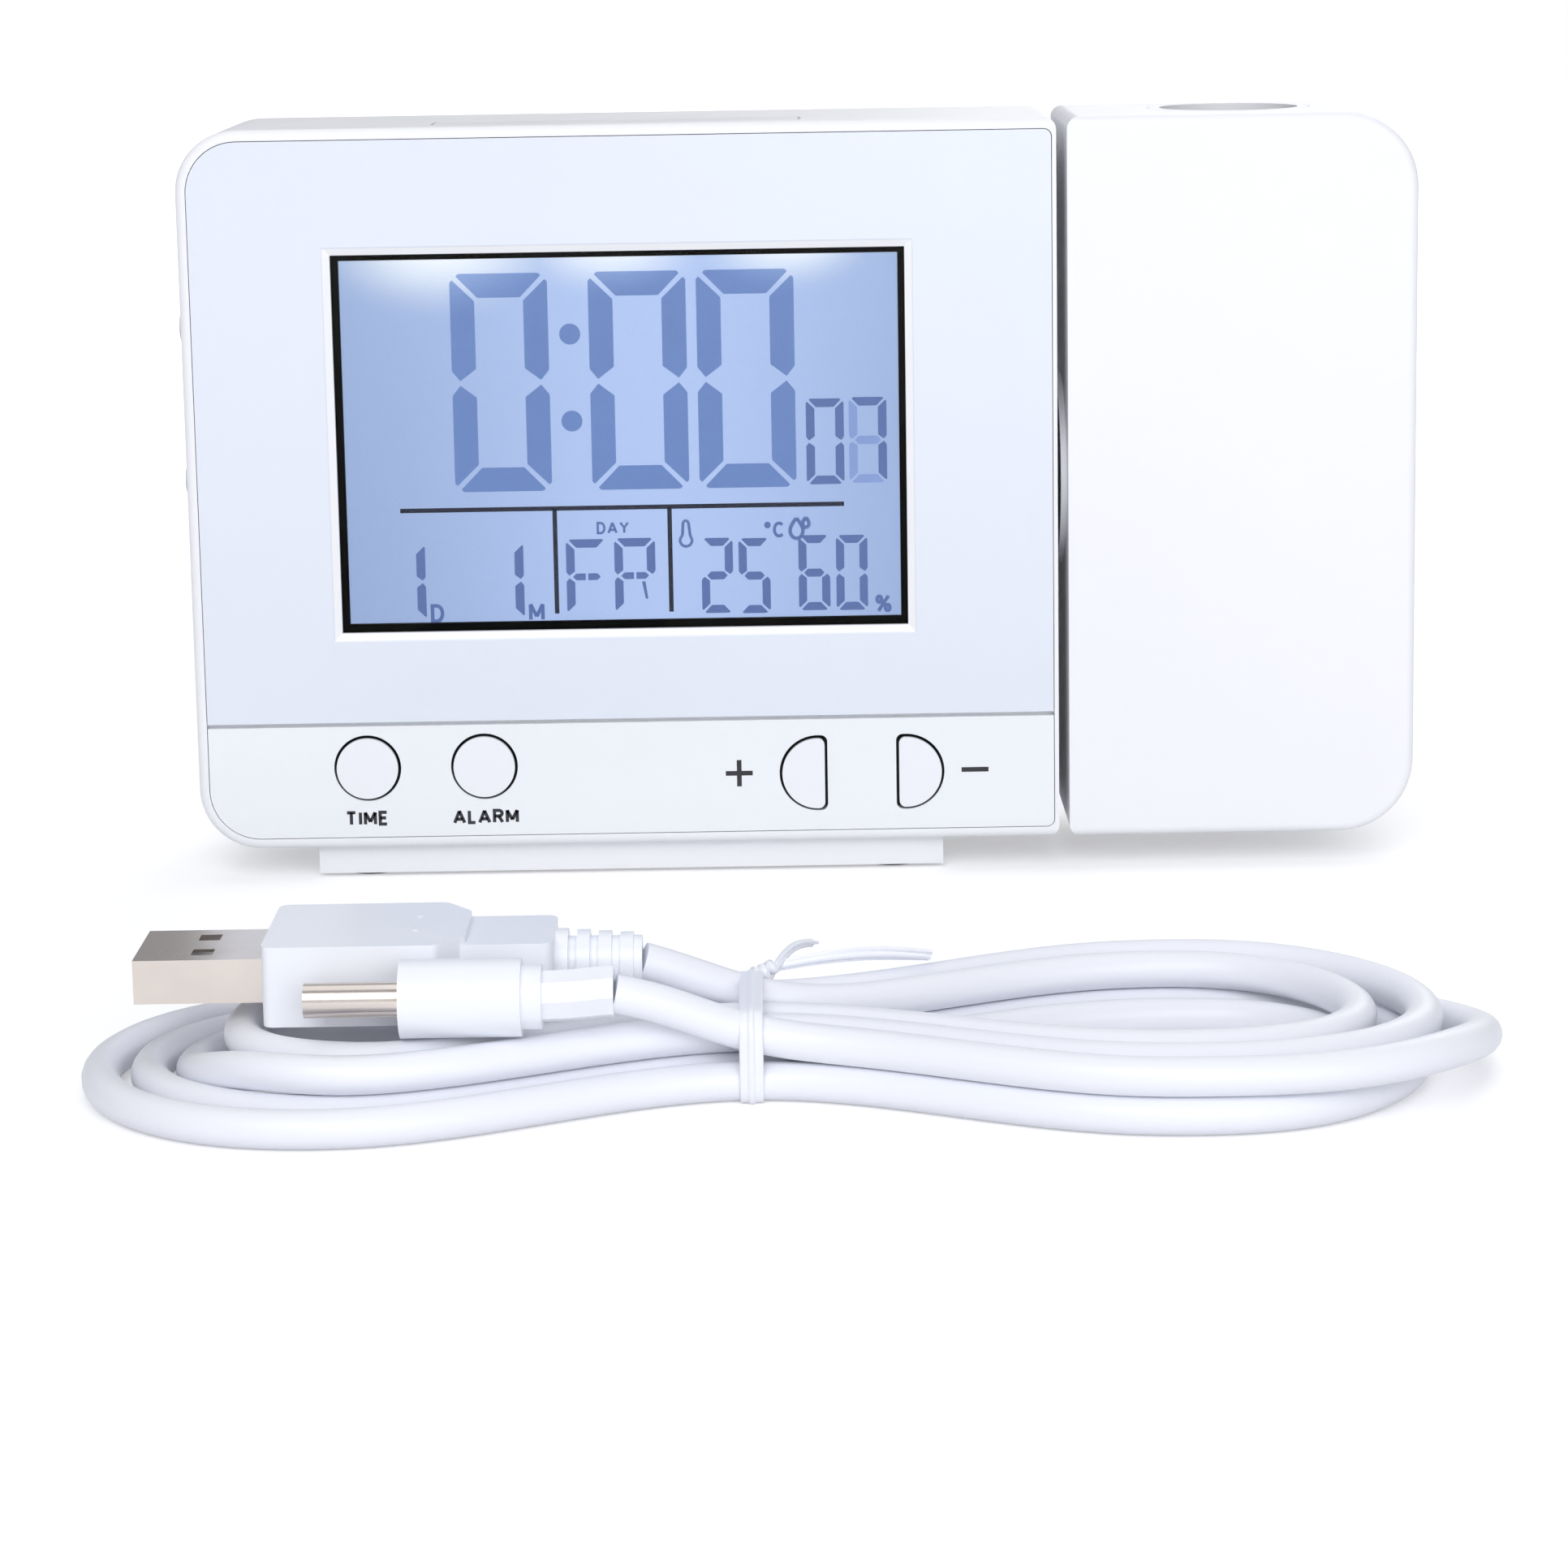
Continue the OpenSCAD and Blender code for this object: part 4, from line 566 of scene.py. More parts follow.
@dataclass(frozen=True)
class CircuitBoard(Finish):
    """Green solder mask over tracks, with tinned spots."""

    mask: Rgb = (20, 88, 52)
    track: Rgb = (34, 120, 70)
    track_scale: float = 260.0
    track_edge: tuple[float, float] = (0.05, 0.09)
    track_t: float = 0.03 * MM
    relief: float = 0.4
    roughness: float = 0.28
    wear: float = 0.15

    def paint(self, easel: Easel) -> None:
        """Paint the tracks under the mask.

        Args:
            easel: The new material.
        """
        cells = easel.add(
            "ShaderNodeTexVoronoi", Vector=easel.place, feature="DISTANCE_TO_EDGE", Scale=self.track_scale,
            Randomness=0.55,
        )
        lines = easel.ramp(cells.outputs["Distance"], *self.track_edge)
        marks = easel.group(GroupName.SATIN)["Marks"]
        easel.surface(
            Base_Color=easel.mix(lines, linear(self.track), linear(self.mask)),
            Roughness=easel.worn(marks, self.wear, self.roughness),
        )
        easel.bump(lines, self.relief, self.track_t, invert=True)


# ---------------------------------------------------------------- mesh helpers


def finished(obj: bpy.types.Object, material: bpy.types.Material, body: str) -> bpy.types.Object:
    """Give a made piece its material and body.

    Args:
        obj: The piece.
        material: Its material.
        body: The body that it rides on.

    Returns:
        The piece.
    """
    dressed(obj, material)
    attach(obj, body)
    LOG.info("%s rides on %s", obj.name, body)
    return obj


def mesh_object(name: str, form: bmesh.types.BMesh, smooth: bool = False) -> bpy.types.Object:
    """Turn a bmesh into an object at the origin.

    Args:
        name: The object's name.
        form: The mesh, which is freed.
        smooth: Whether faces are shaded smooth.

    Returns:
        The object.
    """
    bmesh.ops.recalc_face_normals(form, faces=form.faces)
    for face in form.faces:
        face.smooth = smooth
    mesh = bpy.data.meshes.new(name)
    form.to_mesh(mesh)
    form.free()
    return linked(name, mesh)


def add_prism(form: bmesh.types.BMesh, outline: Outline, front: float, back: float) -> None:
    """Add an upright outline with a thickness front to back.

    Args:
        form: The mesh that it goes into.
        outline: Its corners as x and z.
        front: Its front y.
        back: Its back y.
    """
    near = [form.verts.new((x, front, z)) for x, z in outline]
    far = [form.verts.new((x, back, z)) for x, z in outline]
    form.faces.new(near)
    form.faces.new(list(reversed(far)))
    count = len(outline)
    for place in range(count):
        after = (place + 1) % count
        form.faces.new((near[after], near[place], far[place], far[after]))


def print_plate(
    name: str, outlines: list[Outline], front: float, depth: float, ink: bpy.types.Material
) -> None:
    """Lay outlines as a thin plate of ink on the clock.

    Args:
        name: The piece's name.
        outlines: Its outlines.
        front: The y of the surface below it.
        depth: How far it stands proud.
        ink: Its material.
    """
    form = bmesh.new()
    for outline in outlines:
        add_prism(form, outline, front - depth, front)
    finished(mesh_object(name, form), ink, "clock")


def bar_between(start: tuple[float, float], end: tuple[float, float], width: float) -> Outline:
    """Outline a straight bar.

    Args:
        start: The middle of one end.
        end: The middle of the other end.
        width: Its width.

    Returns:
        Its corners.
    """
    (x0, z0), (x1, z1) = start, end
    half = width / 2 / math.dist(start, end)
    nx, nz = (z1 - z0) * half, (x0 - x1) * half
    return [(x0 + nx, z0 + nz), (x1 + nx, z1 + nz), (x1 - nx, z1 - nz), (x0 - nx, z0 - nz)]


@dataclass(frozen=True)
class Pen:
    """Draws plain capitals and signs with strokes of one width."""

    height: float
    stroke: float
    spacing: float
    stretch: float = 1.0
    arc_steps: int = 10
    sharpest: float = 0.4

    def arc(self, x: float, z: float, rx: float, rz: float, start: int, end: int) -> Outline:
        """Lay points on an arc, in shares of the height.

        Args:
            x: Middle of the arc.
            z: Middle of the arc.
            rx: Its radius across.
            rz: Its radius up.
            start: First angle in degrees.
            end: Last angle in degrees.

        Returns:
            The points.
        """
        steps = self.arc_steps
        turns = [math.radians(start + (end - start) * k / steps) for k in range(steps + 1)]
        return [(x + rx * math.cos(a), z + rz * math.sin(a)) for a in turns]

    def sign(self, letter: str) -> tuple[float, list[Outline]]:
        """Give a sign's width and its strokes, in shares of the height.

        Args:
            letter: The sign.

        Returns:
            The width and one line of points for each stroke.
        """
        bowl = self.arc(0.34, 0.76, 0.26, 0.24, 90, -90)
        half = self.arc(0.28, 0.5, 0.36, 0.5, 90, -90)
        rings = [self.arc(x, z, 0.15, 0.2, 0, 360) for x, z in ((0.16, 0.78), (0.7, 0.22))]
        signs = {
            "T": (0.66, [[(0, 1), (0.66, 1)], [(0.33, 1), (0.33, 0)]]),
            "I": (0.0, [[(0, 0), (0, 1)]]),
            "M": (0.78, [
                [(0, 0), (0, 1)], [(0, 1), (0.39, 0.2)], [(0.39, 0.2), (0.78, 1)], [(0.78, 1), (0.78, 0)],
            ]),
            "E": (0.52, [[(0.52, 1), (0, 1), (0, 0), (0.52, 0)], [(0, 0.52), (0.46, 0.52)]]),
            "A": (0.78, [[(0, 0), (0.39, 1)], [(0.39, 1), (0.78, 0)], [(0.14, 0.3), (0.64, 0.3)]]),
            "L": (0.42, [[(0, 1), (0, 0), (0.46, 0)]]),
            "R": (0.62, [[(0, 0), (0, 1), *bowl, (0, 0.52)], [(0.34, 0.52), (0.62, 0)]]),
            "D": (0.64, [[(0, 0), (0, 1), *half, (0, 0)]]),
            "Y": (0.72, [[(0, 1), (0.36, 0.5), (0.72, 1)], [(0.36, 0.5), (0.36, 0)]]),
            "C": (0.64, [self.arc(0.36, 0.5, 0.36, 0.5, 45, 315)]),
            "%": (0.86, [*rings, [(0.1, 0), (0.76, 1)]]),
            "*": (0.24, [self.arc(0.12, 0.86, 0.13, 0.14, 0, 360)]),
        }
        return signs[letter]

    def line(self, points: Outline) -> list[Outline]:
        """Give a line of points its width, mitred where it turns.

        Args:
            points: The line.

        Returns:
            One outline for each stretch.
        """
        closed = math.dist(points[0], points[-1]) < 1e-9
        core = points[:-1] if closed else points
        sides = []
        for place, (x, z) in enumerate(core):
            normals = []
            for k in (place - 1, place):
                if closed or 0 <= k < len(core) - 1:
                    (x0, z0), (x1, z1) = core[k], core[(k + 1) % len(core)]
                    length = math.hypot(x1 - x0, z1 - z0)
                    normals.append(((z0 - z1) / length, (x1 - x0) / length))
            nx = sum(n[0] for n in normals) / len(normals)
            nz = sum(n[1] for n in normals) / len(normals)
            grow = self.stroke / 2 / max(self.sharpest, nx * nx + nz * nz)
            sides.append(((x + nx * grow, z + nz * grow), (x - nx * grow, z - nz * grow)))
        if closed:
            sides.append(sides[0])
        return [[near[0], far[0], far[1], near[1]] for near, far in zip(sides, sides[1:])]

    def write(self, words: str, x: float, z: float) -> list[Outline]:
        """Write words round a middle.

        Args:
            words: What to write.
            x: Middle of the words.
            z: Middle of the words.

        Returns:
            The outlines of their strokes.
        """
        rise = self.height - self.stroke
        run = rise * self.stretch
        widths = [self.sign(letter)[0] * run + self.stroke for letter in words]
        start = x - (sum(widths) + self.spacing * (len(words) - 1)) / 2
        outlines = []
        for letter, width in zip(words, widths):
            left = start + self.stroke / 2
            for points in self.sign(letter)[1]:
                outlines += self.line([(left + px * run, z - rise / 2 + pz * rise) for px, pz in points])
            start += width + self.spacing
        return outlines


class Section(Enum):
    """The sections that can be swept along a path."""

    ROUND = "round"
    RIBBON = "ribbon"


class SweepTree:
    """A Geometry Nodes tree that sweeps a section along a curve."""

    rounding = 0.45

    def __init__(self, section: Section) -> None:
        """Build the tree.

        Args:
            section: The section that it sweeps.
        """
        self.tree = bpy.data.node_groups.new(f"sweep_{section.value}", "GeometryNodeTree")
        self.tree.is_modifier = True
        face = self.tree.interface
        face.new_socket("Path", in_out="INPUT", socket_type="NodeSocketGeometry")
        kinds = {"Width": "NodeSocketFloat", "Thickness": "NodeSocketFloat", "Sides": "NodeSocketInt"}
        self.sockets = {
            name: face.new_socket(name, in_out="INPUT", socket_type=kind).identifier
            for name, kind in kinds.items()
        }
        face.new_socket("Solid", in_out="OUTPUT", socket_type="NodeSocketGeometry")
        build = Shader(self.tree)
        given, sink = build.add("NodeGroupInput").outputs, build.add("NodeGroupOutput")
        if section is Section.ROUND:
            profile = build.add(
                "GeometryNodeCurvePrimitiveCircle", Resolution=given["Sides"],
                Radius=build.maths("MULTIPLY", given["Width"], 0.5),
            )
        else:
            blank = build.add(
                "GeometryNodeCurvePrimitiveQuadrilateral", Width=given["Width"], Height=given["Thickness"]
            )
            profile = build.add(
                "GeometryNodeFilletCurve", mode="POLY", Curve=blank.outputs[0], Count=given["Sides"],
                Radius=build.maths("MULTIPLY", given["Thickness"], self.rounding),
            )
        size = build.add("GeometryNodeInputNamedAttribute", data_type="FLOAT", Name="radius")
        sweep = build.add(
            "GeometryNodeCurveToMesh", Curve=given["Path"], Profile_Curve=profile.outputs[0],
            Scale=size.outputs["Attribute"], Fill_Caps=True,
        )
        build.put(sink, Solid=sweep.outputs[0])

    def sweep(
        self, name: str, path: list[Vector], width: float, thickness: float = 0.0, sides: int = 16,
        tilts: list[float] | None = None, scales: list[float] | None = None, closed: bool = False,
    ) -> bpy.types.Object:
        """Sweep the section along a path.

        Args:
            name: The piece's name.
            path: Points of the path.
            width: The section's width.
            thickness: The section's thickness, for a ribbon.
            sides: Corners round the section, or steps in each of a ribbon's roundings.
            tilts: Turn of the section at each point.
            scales: Size of the section at each point.
            closed: Whether the path closes on itself.

        Returns:
            The swept mesh.
        """
        curve = bpy.data.curves.new(name, "CURVE")
        curve.dimensions = "3D"
        curve.twist_mode = "MINIMUM"
        spline = curve.splines.new("POLY")
        spline.points.add(len(path) - 1)
        spline.use_cyclic_u = closed
        for place, (knot, point) in enumerate(zip(spline.points, path)):
            knot.co = (*point, 1)
            knot.tilt = tilts[place] if tilts else 0.0
            knot.radius = scales[place] if scales else 1.0
        obj = linked(name, curve)
        modifier = obj.modifiers.new("sweep", "NODES")
        modifier.node_group = self.tree
        for label, value in (("Width", width), ("Thickness", thickness), ("Sides", sides)):
            modifier[self.sockets[label]] = value
        mesh = bpy.data.meshes.new_from_object(obj.evaluated_get(bpy.context.evaluated_depsgraph_get()))
        form = bmesh.new()
        form.from_mesh(mesh)
        bpy.data.objects.remove(obj)
        bpy.data.meshes.remove(mesh)
        return mesh_object(name, form, smooth=True)


def rounded_path(points: list[Point], steps: int) -> list[Vector]:
    """Lay a smooth curve through points.

    Args:
        points: The points that it passes.
        steps: Steps between two points.

    Returns:
        Points along the curve.
    """
    knots = [Vector(p) for p in (points[0], *points, points[-1])]
    path = []
    for a, b, c, d in zip(knots, knots[1:], knots[2:], knots[3:]):
        for step in range(steps):
            t = step / steps
            bend, twist = 2 * a - 5 * b + 4 * c - d, 3 * b - a - 3 * c + d
            path.append(0.5 * (2 * b + (c - a) * t + bend * t * t + twist * t**3))
    path.append(knots[-1])
    return path


def evened(path: list[Vector], step: float) -> list[Vector]:
    """Set a path's points out at one spacing.

    Args:
        path: The points.
        step: The spacing wanted.

    Returns:
        Points on the same line, with the same ends.
    """
    lengths = [0.0]
    for a, b in zip(path, path[1:]):
        lengths.append(lengths[-1] + (b - a).length)
    count = round(lengths[-1] / step)
    places, k = [], 0
    for place in range(count):
        along = lengths[-1] * place / count
        while lengths[k + 1] <= along:
            k += 1
        places.append(path[k].lerp(path[k + 1], (along - lengths[k]) / (lengths[k + 1] - lengths[k])))
    return [*places, path[-1]]


def relaxed(path: list[Vector], passes: int) -> list[Vector]:
    """Ease a path's bends as a limp cable does, with its ends kept.

    Args:
        path: The points, evenly spaced.
        passes: How often each point moves towards its neighbours.

    Returns:
        The eased points.
    """
    for _ in range(passes):
        path = [path[0], *((a + 2 * b + c) / 4 for a, b, c in zip(path, path[1:], path[2:])), path[-1]]
    return path


# ---------------------------------------------------------------- display


class Segment(Enum):
    """The bars of a digit and those that letters add: form, and direction in x and in z."""

    TOP = ("level", 1, 1)
    BOTTOM = ("level", 1, -1)
    UPPER_RIGHT = ("upright", 1, 1)
    LOWER_RIGHT = ("upright", 1, -1)
    UPPER_LEFT = ("upright", -1, 1)
    LOWER_LEFT = ("upright", -1, -1)
    MIDDLE = ("middle", 1, 1)
    MIDDLE_LEFT = ("half", -1, 1)
    MIDDLE_RIGHT = ("half", 1, 1)
    LEG = ("leg", 1, 1)


KEYS = dict(zip("abcdefghij", (
    Segment.TOP, Segment.UPPER_RIGHT, Segment.LOWER_RIGHT, Segment.BOTTOM, Segment.LOWER_LEFT,
    Segment.UPPER_LEFT, Segment.MIDDLE, Segment.MIDDLE_LEFT, Segment.MIDDLE_RIGHT, Segment.LEG,
)))
SIGNS = {
    "0": "abcdef", "1": "bc", "2": "abged", "5": "afgcd", "6": "afgedc", "7": "abc", "F": "afehi",
    "R": "abfehij", "rest of 7": "fegd",
}


@dataclass(frozen=True)
class Digit:
    """One seven-bar figure: its size, its stroke, the gaps where bars meet and its corners."""

    width: float
    height: float
    stroke: float
    gap: float
    chamfer: float

    def bar(self, which: Segment) -> Outline:
        """Outline one bar, with the figure's centre at the origin.

        Args:
            which: The bar.

        Returns:
            Its corners as x and z.
        """
        form, across, up = which.value
        w, h, s, g, c = self.width / 2, self.height / 2, self.stroke, self.gap / 2, self.chamfer
        mitre = 1.41 * g
        level, upright = c * 0.55, c * 0.45
        reach, thin = w - s * 0.62 - g, s * 0.4
        forms = {
            "level": [
                (-w + c + mitre, h), (w - c - mitre, h), (w - level - mitre, h - upright),
                (w - s - mitre, h - s), (-w + s + mitre, h - s), (-w + level + mitre, h - upright),
            ],
            "upright": [
                (w, h - c - mitre), (w, s * 0.42 + g), (w - s * 0.34, g), (w - s, s * 0.5 + g),
                (w - s, h - s - mitre), (w - upright, h - level - mitre),
            ],
            "middle": [
                (-w + s * 0.55 + g, 0), (-w + s + g, s / 2), (w - s - g, s / 2),
                (w - s * 0.55 - g, 0), (w - s - g, -s / 2), (-w + s + g, -s / 2),
            ],
            "half": [(g, thin), (reach - thin, thin), (reach, 0), (reach - thin, -thin), (g, -thin)],
            "leg": [
                (w * 0.32, -s * 0.7), (w * 0.32 + s * 0.42, -s * 0.7), (w * 0.62, -h * 0.62),
                (w * 0.62 - s * 0.3, -h * 0.62),
            ],
        }
        return [(across * x, up * z) for x, z in forms[form]]

    def bars(self, sign: str) -> list[Outline]:
        """Outline the bars that a sign of SIGNS lights."""
        return [self.bar(KEYS[key]) for key in SIGNS[sign]]


BIG = Digit(11.8 * MM, 26.6 * MM, 2.95 * MM, 0.55 * MM, 0.7 * MM)
SECONDS = Digit(4.6 * MM, 10.5 * MM, 1.05 * MM, 0.25 * MM, 0.35 * MM)
SMALL = Digit(3.85 * MM, 9.3 * MM, 1.0 * MM, 0.26 * MM, 0.35 * MM)
DAY = Digit(5.0 * MM, 9.3 * MM, 1.05 * MM, 0.3 * MM, 0.35 * MM)
ONES = Digit(2.0 * MM, 9.5 * MM, 1.1 * MM, 0.3 * MM, 0.3 * MM)
Signs = tuple[tuple[Digit, str, float, float], ...]


@dataclass
class Display:
    """The lit display: its ground, figures, rules and small signs.

    Places are x and z of each sign's middle, in millimetres.
    """

    groups: Groups
    ink_depth: float = 0.03 * MM
    nudge: tuple[float, float] = (0.35, -0.3)
    big_signs: Signs = ((BIG, "0", -36.25, 61.3), (BIG, "0", -19.55, 61.3), (BIG, "0", -6.5, 61.3))
    second_signs: Signs = ((SECONDS, "0", 2.95, 53.5), (SECONDS, "7", 8.15, 53.6))
    resting_signs: Signs = ((SECONDS, "rest of 7", 8.15, 53.6),)
    small_signs: Signs = (
        (SMALL, "2", -10.45, 37.2), (SMALL, "5", -5.9, 37.1), (SMALL, "6", 1.4, 37.35),
        (SMALL, "0", 6.0, 37.3), (DAY, "F", -26.4, 37.3), (DAY, "R", -20.5, 37.35),
    )
    one_signs: Signs = ((ONES, "1", -47.1, 37.0), (ONES, "1", -35.1, 37.0))
    colon: tuple = ((-27.75, 67.1), (-27.75, 56.5))
    colon_r: float = 1.28 * MM
    colon_corners: int = 28
    rule_t: float = 0.55 * MM
    rules: tuple = (
        ((-48.95, 45.8), (5.15, 45.8)), ((-30.15, 45.8), (-30.15, 32.8)), ((-16.15, 45.8), (-16.15, 32.8)),
    )
    letters: tuple = (
        ("DAY", -23.1, 43.3, 1.55), ("D", -44.8, 33.05, 2.35), ("M", -32.65, 33.05, 2.35),
        ("*C", -3.4, 42.75, 2.0), ("%", 9.8, 33.4, 2.3),
    )
    letter_stroke: float = 0.19
    letter_gap: float = 0.13
    thermometer_at: tuple[float, float] = (-14.2, 42.45)
    thermometer_line: float = 0.36 * MM
    tube_r: float = 0.34 * MM
    bulb_r: float = 0.74 * MM
    tube_reach: float = 1.6 * MM
    drops: tuple = ((1.0, -0.7, 42.8), (0.5, 0.45, 43.55))
    drop_line: float = 0.45 * MM
    drop_w: float = 0.8
    drop_tip: float = 0.5
    drop_sink: float = 0.2
    drop_corners: int = 16
    lamps: tuple = ((-42.8, 11.5), (-22.3, 9.0), (-1.2, 8.5))
    strip_h: float = 3.4 * MM

    def build(self) -> None:
        """Build and dress the whole display."""
        self.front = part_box("lcd_cell")[0].y
        opening_low, opening_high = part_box("lcd_gasket")
        lamps = tuple(((x * MM, self.front, opening_high.z), reach * MM) for x, reach in self.lamps)
        self.groups[GroupName.GLOW] = glow_group(lamps, self.strip_h)
        ground = Backlight("lit_ground", opening_high.z, opening_low.z)
        dressed(bpy.data.objects["lcd_cell"], ground.build(self.groups))
        blue = LitInk("time_figures", (98, 126, 181)).build(self.groups)
        grey = LitInk("small_figures", (83, 105, 158)).build(self.groups)
        faint = LitInk("resting_bars", (127, 149, 200)).build(self.groups)
        black = LitInk("display_rules", (12, 15, 32)).build(self.groups)
        dot = [(self.colon_r * math.cos(a), self.colon_r * math.sin(a)) for a in ring(self.colon_corners)]
        rules = [
            bar_between(*(self.moved([(0, 0)], *end)[0] for end in ends), self.rule_t) for ends in self.rules
        ]
        for name, outlines, ink in (
            ("time_digits", self.figures(self.big_signs) + [self.moved(dot, *at) for at in self.colon], blue),
            ("seconds_digits", self.figures(self.second_signs), grey),
            ("small_digits", self.figures(self.small_signs), grey),
            ("date_digits", self.figures(self.one_signs), grey),
            ("resting_bars", self.figures(self.resting_signs), faint),
            ("display_rules", rules, black),
            ("unit_letters", self.written(), grey),
            ("thermometer_sign", self.thermometer(), grey),
            ("drop_sign", self.drop(), grey),
        ):
            print_plate(name, outlines, self.front, self.ink_depth, ink)

    def moved(self, outline: Outline, x: float, z: float) -> Outline:
        """Shift an outline to a place given in millimetres."""
        return [(px + (x + self.nudge[0]) * MM, pz + (z + self.nudge[1]) * MM) for px, pz in outline]

    def figures(self, signs: Signs) -> list[Outline]:
        """Outline the bars of a group of figures."""
        return [self.moved(bar, x, z) for digit, sign, x, z in signs for bar in digit.bars(sign)]

    def written(self) -> list[Outline]:
        """Outline the small letters.

        Returns:
            Their strokes.
        """
        strokes = []
        for words, x, z, height in self.letters:
            pen = Pen(height * MM, height * self.letter_stroke * MM, height * self.letter_gap * MM)
            strokes += pen.write(words, (x + self.nudge[0]) * MM, (z + self.nudge[1]) * MM)
        return strokes

    def outlined(self, points: Outline, width: float, x: float, z: float) -> list[Outline]:
        """Outline a thin closed line as one bar for each side.

        Args:
            points: The line's corners.
            width: Its width.
            x: Its place in millimetres.
            z: Its place in millimetres.

        Returns:
            The bars.
        """
        pairs = zip(points, points[1:] + points[:1])
        return [self.moved(bar_between(near, far, width), x, z) for near, far in pairs]

    def thermometer(self) -> list[Outline]:
        """Outline the thermometer: a round-topped tube over a bulb.

        Returns:
            Its line in short bars.
        """
        tube, bulb, tall = self.tube_r, self.bulb_r, self.tube_reach
        low = [math.radians(turn) for turn in range(-145, 150, 20)]
        high = [math.radians(turn) for turn in range(0, 181, 30)]
        points = [(bulb * math.sin(a), -tall + bulb - bulb * math.cos(a)) for a in low]
        points += [(tube * math.cos(a), tall - tube + tube * math.sin(a)) for a in high]
        return self.outlined(points, self.thermometer_line, *self.thermometer_at)

    def drop(self) -> list[Outline]:
        """Outline the drop and the small one beside it.

        Returns:
            Their lines in short bars.
        """
        bars = []
        for size, x, z in self.drops:
            points = []
            for a in ring(self.drop_corners):
                lift = self.drop_tip * max(0.0, math.cos(a)) ** 3
                across = self.drop_w * math.sin(a) * (1 - lift)
                points.append((size * MM * across, size * MM * (math.cos(a) + lift - self.drop_sink)))
            bars += self.outlined(points, self.drop_line, x, z)
        return bars


# ---------------------------------------------------------------- lettering on the case


@dataclass
class Lettering:
    """The printed signs beside the front keys, with places in millimetres."""

    groups: Groups
    depth: float = 0.02 * MM
    pen: Pen = Pen(1.88 * MM, 0.4 * MM, 0.2 * MM, 1.06)
    words: tuple = (("time_label", "TIME", -53.65, 7.85), ("alarm_label", "ALARM", -39.05, 7.85))
    signs: tuple = (("plus_label", "+", -7.85, 12.75), ("minus_label", "-", 21.05, 12.75))
    sign_l: float = 3.3 * MM
    sign_t: float = 0.58 * MM

    def build(self) -> None:
        """Print the words and the two signs."""
        ink = Moulding("printed_ink", (42, 42, 48), roughness=0.55, grain_depth=0.004).build(self.groups)
        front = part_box("key_plate")[0].y
        long, thin = self.sign_l / 2, self.sign_t / 2
        arm = [(long, thin), (thin, thin), (thin, long), (-thin, long), (-thin, thin), (-long, thin)]
        shapes = {
            "+": arm + [(-x, -z) for x, z in arm],
            "-": [arm[0], arm[-1], (-long, -thin), (long, -thin)],
        }
        printed = [(name, self.pen.write(words, x * MM, z * MM)) for name, words, x, z in self.words]
        for name, sign, x, z in self.signs:
            printed.append((name, [[(px + x * MM, pz + z * MM) for px, pz in shapes[sign]]]))
        for name, outlines in printed:
            print_plate(name, outlines, front, self.depth, ink)


# ---------------------------------------------------------------- lead


class Layer(Enum):
    """The two layers of strands in the hank."""

    LOWER = 0.5
    UPPER = 1.5


@dataclass(frozen=True)
class Turn:
    """Half a turn of the hank: a lobe that leaves the waist and comes back to it.

    Lengths are in millimetres.
    """

    side: int
    reach: float
    cap: float
    width_out: float
    width_back: float
    start_up: int
    slot_out: int
    slot_back: int
    layer_out: Layer
    layer_back: Layer
    climb: tuple[float, float] = (0.0, 1.0)

    def points(self, lead: "Lead") -> list[Point]:
        """Work out the strand's points round this lobe.

        Args:
            lead: The hank's sizes.

        Returns:
            Points from the waist round the lobe, without the last one.
        """
        out, back = self.slot_out * lead.slot_step, self.slot_back * lead.slot_step
        cap, width_out, width_back = self.cap * MM, self.width_out * MM, self.width_back * MM
        count = 2 * lead.side_steps + lead.cap_steps
        straight = self.reach * MM - cap
        low, high = self.layer_out.value * lead.diameter, self.layer_back.value * lead.diameter
        begin, end = self.climb
        places = []
        for step in range(count):
            if step < lead.side_steps:
                x = straight * step / lead.side_steps
                y = out + (self.start_up * width_out - out) * smooth_step(x / lead.widening)
            elif step <= lead.side_steps + lead.cap_steps:
                a = math.pi * (step - lead.side_steps) / lead.cap_steps
                x = straight + cap * math.sin(a)
                width = width_out * (1 + math.cos(a)) / 2 + width_back * (1 - math.cos(a)) / 2
                y = self.start_up * width * math.cos(a)
            else:
                x = straight * (count - step) / lead.side_steps
                y = back + (-self.start_up * width_back - back) * smooth_step(x / lead.widening)
            z = low + (high - low) * smooth_step((step / count - begin) / (end - begin))
            places.append((lead.waist_x + self.side * x, lead.waist_y + y, z))
        return places


@dataclass(frozen=True)
class Tail:
    """One end of the wire tie: its first angle, and where it leads in millimetres."""

    angle: float
    reach: Point


